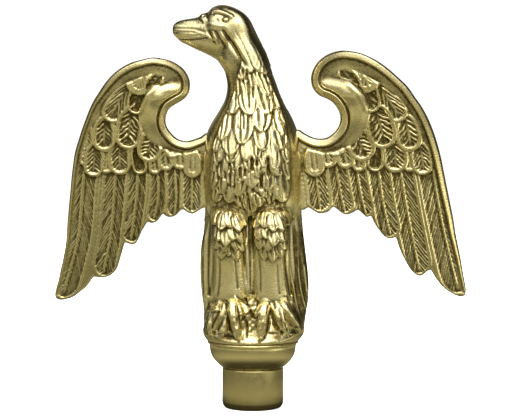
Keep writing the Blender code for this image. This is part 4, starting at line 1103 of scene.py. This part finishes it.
# ---------------------------------------------------------------- materials ---
def gold(name, base, dark, rough, grain=1.0, age=1.0):
    """Polished plate with painted shade and tarnish in its hollows and creases, cast grain and soft wear."""
    m = bpy.data.materials.new(name)
    m.use_nodes = True
    nt = m.node_tree
    n, link = nt.nodes, nt.links
    p = n["Principled BSDF"]
    p.inputs["Metallic"].default_value = 1.0
    tc = n.new("ShaderNodeTexCoord")

    def noise(scale, detail, rough_=0.5):
        q = n.new("ShaderNodeTexNoise")
        q.inputs["Scale"].default_value = scale
        q.inputs["Detail"].default_value = detail
        q.inputs["Roughness"].default_value = rough_
        link.new(tc.outputs["Object"], q.inputs["Vector"])
        return q

    def ranged(socket, a, b, c, d):
        q = n.new("ShaderNodeMapRange")
        for key, val in (("From Min", a), ("From Max", b), ("To Min", c), ("To Max", d)):
            q.inputs[key].default_value = val
        link.new(socket, q.inputs["Value"])
        return q.outputs["Result"]

    def maths(op, a, b):
        q = n.new("ShaderNodeMath")
        q.operation = op
        for i, val in enumerate((a, b)):
            if isinstance(val, (int, float)):
                q.inputs[i].default_value = val
            else:
                link.new(val, q.inputs[i])
        return q.outputs[0]

    wide, mid, fine = noise(70, 3), noise(420, 3), noise(1500, 3, 0.6)
    # painted shade: the hollow attribute and the pointiness of creases darken the base colour towards dark, along with
    # some tarnish; the fine specks are cast grain
    hollow = n.new("ShaderNodeAttribute")
    hollow.attribute_name = "hollow"
    geo = n.new("ShaderNodeNewGeometry")
    deep = ranged(hollow.outputs["Fac"], 0.0, 0.26, 0.0, 1.0)
    fold = ranged(geo.outputs["Pointiness"], 0.50, 0.42, 0.0, 0.6)
    shade_and_grime = maths("MAXIMUM", deep, fold)
    speck = maths("MULTIPLY", ranged(fine.outputs["Fac"], 0.50, 0.68, 0.0, 0.42), grain)
    shade_and_grime = maths("MULTIPLY", maths("ADD", shade_and_grime, speck), ranged(mid.outputs["Fac"], 0.3, 0.6, 0.75, 1.0))
    shade_and_grime = maths("MINIMUM", shade_and_grime, 1.0)
    tone = n.new("ShaderNodeMix")
    tone.data_type = "RGBA"
    tone.inputs["A"].default_value = (*base, 1)
    tone.inputs["B"].default_value = (*dark, 1)
    link.new(shade_and_grime, tone.inputs["Factor"])
    vary = n.new("ShaderNodeMix")
    vary.data_type = "RGBA"
    vary.blend_type = "MULTIPLY"
    vary.inputs["Factor"].default_value = 0.5 * age
    ramp = n.new("ShaderNodeValToRGB")
    ramp.color_ramp.elements[0].position, ramp.color_ramp.elements[1].position = 0.32, 0.66
    ramp.color_ramp.elements[0].color = (0.86, 0.80, 0.66, 1)
    ramp.color_ramp.elements[1].color = (1, 1, 1, 1)
    link.new(wide.outputs["Fac"], ramp.inputs["Fac"])
    link.new(tone.outputs["Result"], vary.inputs["A"])
    link.new(ramp.outputs["Color"], vary.inputs["B"])
    link.new(vary.outputs["Result"], p.inputs["Base Color"])
    sheen = ranged(mid.outputs["Fac"], 0.3, 0.7, rough * 0.8, rough * 1.25)
    link.new(maths("ADD", sheen, maths("MULTIPLY", shade_and_grime, 0.22)), p.inputs["Roughness"])
    b = n.new("ShaderNodeBump")
    b.inputs["Strength"].default_value = min(1.0, 0.30 * grain)
    b.inputs["Distance"].default_value = 0.0003
    link.new(fine.outputs["Fac"], b.inputs["Height"])
    link.new(b.outputs["Normal"], p.inputs["Normal"])
    m.diffuse_color = (*base, 1)
    return m


GOLD_CAST = gold("gold_cast", (0.90, 0.81, 0.49), (0.125, 0.098, 0.034), 0.17)
GOLD_TURNED = gold("gold_turned", (0.86, 0.76, 0.43), (0.45, 0.37, 0.16), 0.20, 0.12, 0.4)
# painted shade: the ferrule wears a darker copy of the turned gold
GOLD_FERRULE = gold("gold_ferrule", (0.70, 0.615, 0.335), (0.38, 0.31, 0.135), 0.20, 0.12, 0.4)


def steel(name):
    m = bpy.data.materials.new(name)
    m.use_nodes = True
    n, link = m.node_tree.nodes, m.node_tree.links
    p = n["Principled BSDF"]
    p.inputs["Metallic"].default_value = 1.0
    noise = n.new("ShaderNodeTexNoise")
    noise.inputs["Scale"].default_value = 900
    ramp = n.new("ShaderNodeValToRGB")
    ramp.color_ramp.elements[0].color = (0.42, 0.42, 0.40, 1)
    ramp.color_ramp.elements[1].color = (0.70, 0.70, 0.68, 1)
    link.new(noise.outputs["Fac"], ramp.inputs["Fac"])
    link.new(ramp.outputs["Color"], p.inputs["Base Color"])
    rr = n.new("ShaderNodeMapRange")
    rr.inputs["To Min"].default_value, rr.inputs["To Max"].default_value = 0.25, 0.45
    link.new(noise.outputs["Fac"], rr.inputs["Value"])
    link.new(rr.outputs["Result"], p.inputs["Roughness"])
    return m


STEEL = steel("zinc_steel")


def wear(ob, mat, slot, *nodes):
    ob.data.materials.clear()
    ob.data.materials.append(mat)
    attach(ob, "root")
    if nodes:
        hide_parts(*nodes)


wear(make_wing("wing_right_cast", WING_RIGHT, 1), GOLD_CAST, "gold_cast", "wing_right")
wear(make_wing("wing_left_cast", WING_LEFT, -1), GOLD_CAST, "gold_cast", "wing_left")
wear(make_body(), GOLD_CAST, "gold_cast", "eagle_front", "eagle_back")
wear(make_cup(), GOLD_TURNED, "gold_turned", "neck_cup")
wear(make_ferrule(), GOLD_FERRULE, "gold_turned", "ferrule_tube")

for node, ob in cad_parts.items():
    if node.startswith(("tie_", "nut_", "washer_", "wing_pin", "body_screw")):
        ob.data.materials.clear()
        ob.data.materials.append(STEEL)


# ------------------------------------------------------------------- studio ---
def studio():
    sc = bpy.context.scene
    cam = bpy.data.cameras.new("camera")
    cam.sensor_width = 36
    cam.lens = 36 * DIST / (520 * UNIT)
    cam.clip_start, cam.clip_end = 0.05, 20
    ob = bpy.data.objects.new("camera", cam)
    from mathutils import Matrix, Vector
    rot = Matrix((RIGHT, UP, -FWD)).transposed()
    ob.matrix_world = Matrix.Translation(Vector(EYE * MM)) @ rot.to_4x4()
    sc.collection.objects.link(ob)
    sc.camera = ob
    sc.view_settings.view_transform = "Standard"
    sc.view_settings.look = "None"

    # floor: pale, bright to the eye; in the metal it is dim, with a painted shadow under the bird and a painted pool of
    # light to the front right
    bm = bmesh.new()
    bmesh.ops.create_circle(bm, cap_ends=True, segments=96, radius=0.9)
    me = bpy.data.meshes.new("floor")
    bm.to_mesh(me)
    bm.free()
    floor = bpy.data.objects.new("floor", me)
    floor.location.z = -0.0002
    sc.collection.objects.link(floor)
    m = bpy.data.materials.new("floor_paper")
    m.use_nodes = True
    nt = m.node_tree
    n, link = nt.nodes, nt.links
    n.remove(n["Principled BSDF"])
    lit = n.new("ShaderNodeBsdfDiffuse")
    lit.inputs["Color"].default_value = (0.93, 0.93, 0.93, 1)
    dim = n.new("ShaderNodeBsdfDiffuse")
    place_ = n.new("ShaderNodeTexCoord")
    reach = n.new("ShaderNodeVectorMath")
    reach.operation = "LENGTH"
    link.new(place_.outputs["Object"], reach.inputs[0])
    # painted shadow: as the metal sees it, the floor is darkest right under the bird and changes in uneven rings
    # outward
    shade = n.new("ShaderNodeValToRGB")
    e = shade.color_ramp.elements
    e[0].position, e[0].color = 0.022, (0.020, 0.018, 0.010, 1)
    e[1].position, e[1].color = 0.045, (0.138, 0.130, 0.083, 1)
    for at, level in ((0.075, 0.105), (0.10, 0.060), (0.16, 0.076), (0.27, 0.155), (0.60, 0.11)):
        more = e.new(at)
        more.color = (level, level * 0.95, level * 0.60, 1)
    link.new(reach.outputs["Value"], shade.inputs["Fac"])
    lit_by = n.new("ShaderNodeVectorMath")      # painted pool of light on the floor to the front right, seen only in the metal
    lit_by.operation = "DISTANCE"
    link.new(place_.outputs["Object"], lit_by.inputs[0])
    lit_by.inputs[1].default_value = (0.24, -0.09, 0.0)
    near = n.new("ShaderNodeMapRange")
    near.interpolation_type = "SMOOTHSTEP"
    near.inputs["From Min"].default_value, near.inputs["From Max"].default_value = 0.14, 0.05
    near.inputs["To Max"].default_value = 0.5
    link.new(lit_by.outputs["Value"], near.inputs["Value"])
    both_ = n.new("ShaderNodeMix")
    both_.data_type = "RGBA"
    link.new(near.outputs["Result"], both_.inputs["Factor"])
    link.new(shade.outputs["Color"], both_.inputs["A"])
    both_.inputs["B"].default_value = (0.9, 0.86, 0.66, 1)
    link.new(both_.outputs["Result"], dim.inputs["Color"])
    path = n.new("ShaderNodeLightPath")
    mix = n.new("ShaderNodeMixShader")
    glow = n.new("ShaderNodeEmission")
    glow.inputs["Strength"].default_value = 0.62
    both = n.new("ShaderNodeAddShader")
    link.new(lit.outputs[0], both.inputs[0])
    link.new(glow.outputs[0], both.inputs[1])
    link.new(path.outputs["Is Camera Ray"], mix.inputs["Fac"])
    link.new(dim.outputs[0], mix.inputs[1])
    link.new(both.outputs[0], mix.inputs[2])
    link.new(mix.outputs[0], n["Material Output"].inputs["Surface"])
    me.materials.append(m)

    # room: white to the eye; what the metal mirrors is dim, with soft panels
    w = bpy.data.worlds.new("room")
    sc.world = w
    w.use_nodes = True
    nt = w.node_tree
    n, link = nt.nodes, nt.links
    bg = n["Background"]
    tc = n.new("ShaderNodeTexCoord")

    def maths(op, a, b):
        q = n.new("ShaderNodeMath")
        q.operation = op
        for i, val in enumerate((a, b)):
            if isinstance(val, (int, float)):
                q.inputs[i].default_value = val
            else:
                link.new(val, q.inputs[i])
        return q.outputs[0]

    def panel(direction, inner, outer, level):
        """Soft round panel: half-angles in degrees."""
        d = Vector(direction).normalized()
        dot = n.new("ShaderNodeVectorMath")
        dot.operation = "DOT_PRODUCT"
        link.new(tc.outputs["Generated"], dot.inputs[0])
        dot.inputs[1].default_value = d
        q = n.new("ShaderNodeMapRange")
        q.interpolation_type = "SMOOTHSTEP"
        q.inputs["From Min"].default_value = math.cos(math.radians(outer))
        q.inputs["From Max"].default_value = math.cos(math.radians(inner))
        q.inputs["To Max"].default_value = level
        link.new(dot.outputs["Value"], q.inputs["Value"])
        return q.outputs["Result"]

    warm, white = 0.02, 0.0
    for direction, inner, outer, level, pale in PANELS:
        part = panel(direction, inner, outer, level)
        warm = maths("ADD", maths("MULTIPLY", part, 1 - pale), warm)
        white = maths("ADD", maths("MULTIPLY", part, pale), white)
    path = n.new("ShaderNodeLightPath")
    seen = n.new("ShaderNodeMix")
    seen.data_type = "RGBA"
    link.new(path.outputs["Is Camera Ray"], seen.inputs["Factor"])
    tint = n.new("ShaderNodeCombineColor")
    for key, a_, b_ in (("Red", 1.0, 1.0), ("Green", 0.95, 0.99), ("Blue", 0.66, 0.95)):
        link.new(maths("ADD", maths("MULTIPLY", warm, a_), maths("MULTIPLY", white, b_)), tint.inputs[key])
    link.new(tint.outputs["Color"], seen.inputs["A"])
    seen.inputs["B"].default_value = (1.2, 1.2, 1.2, 1)
    link.new(seen.outputs["Result"], bg.inputs["Color"])
    bg.inputs["Strength"].default_value = 1.0

    def box(name, at, aim, size, power, col=(1, 1, 1)):
        """Area lamp; the metal mirrors the world's soft panels instead of its face."""
        li = bpy.data.lights.new(name, "AREA")
        li.shape = "RECTANGLE"
        li.size, li.size_y = size
        li.energy = power
        li.color = col
        lo = bpy.data.objects.new(name, li)
        at, aim = Vector(at), Vector(aim)
        lo.location = at
        lo.rotation_euler = (aim - at).to_track_quat("-Z", "Y").to_euler()
        lo.visible_glossy = False
        sc.collection.objects.link(lo)

    for name, at, size, power in LAMPS:
        box(name, at, (0, 0, 0.09), size, power)


# direction the panel lies in, full and zero half-angle, brightness, share of white
PANELS = [
    ((-0.12, -1, 0.05), 10, 44, 0.34, 0.1), ((0.1, -1, 0.70), 12, 36, 1.55, 0.7), ((-0.85, -0.8, 0.2), 10, 26, 0.34, 0.3),
    ((0.60, -1, 0.20), 8, 21, 0.70, 0.6), ((0.95, -0.7, 0.4), 8, 26, 0.52, 0.6), ((-1.0, -0.2, 0.6), 8, 24, 0.35, 0.5),
    ((-0.55, -0.9, 0.42), 5, 17, 0.85, 0.8),
    ((-1.0, 0.1, -0.1), 8, 24, 0.10, 0.0), ((0.1, -0.42, 1.05), 22, 40, 2.2, 1.0), ((-0.9, -0.75, 0.75), 5, 18, 1.4, 1.0),
    ((0.75, -0.85, 0.62), 5, 17, 1.2, 1.0),
    # behind the bird
    ((-0.35, 1, 0.40), 12, 32, 0.24, 0.4), ((0.6, 1, -0.05), 10, 40, 0.07, 0.2),
]
LAMPS = [
    ("overhead", (0.1, -0.42, 1.05), (1.3, 0.8), 30), ("left_front", (-0.9, -0.75, 0.75), (0.45, 0.5), 9),
    ("right_front", (0.75, -0.85, 0.62), (0.5, 0.6), 10),
]


studio()
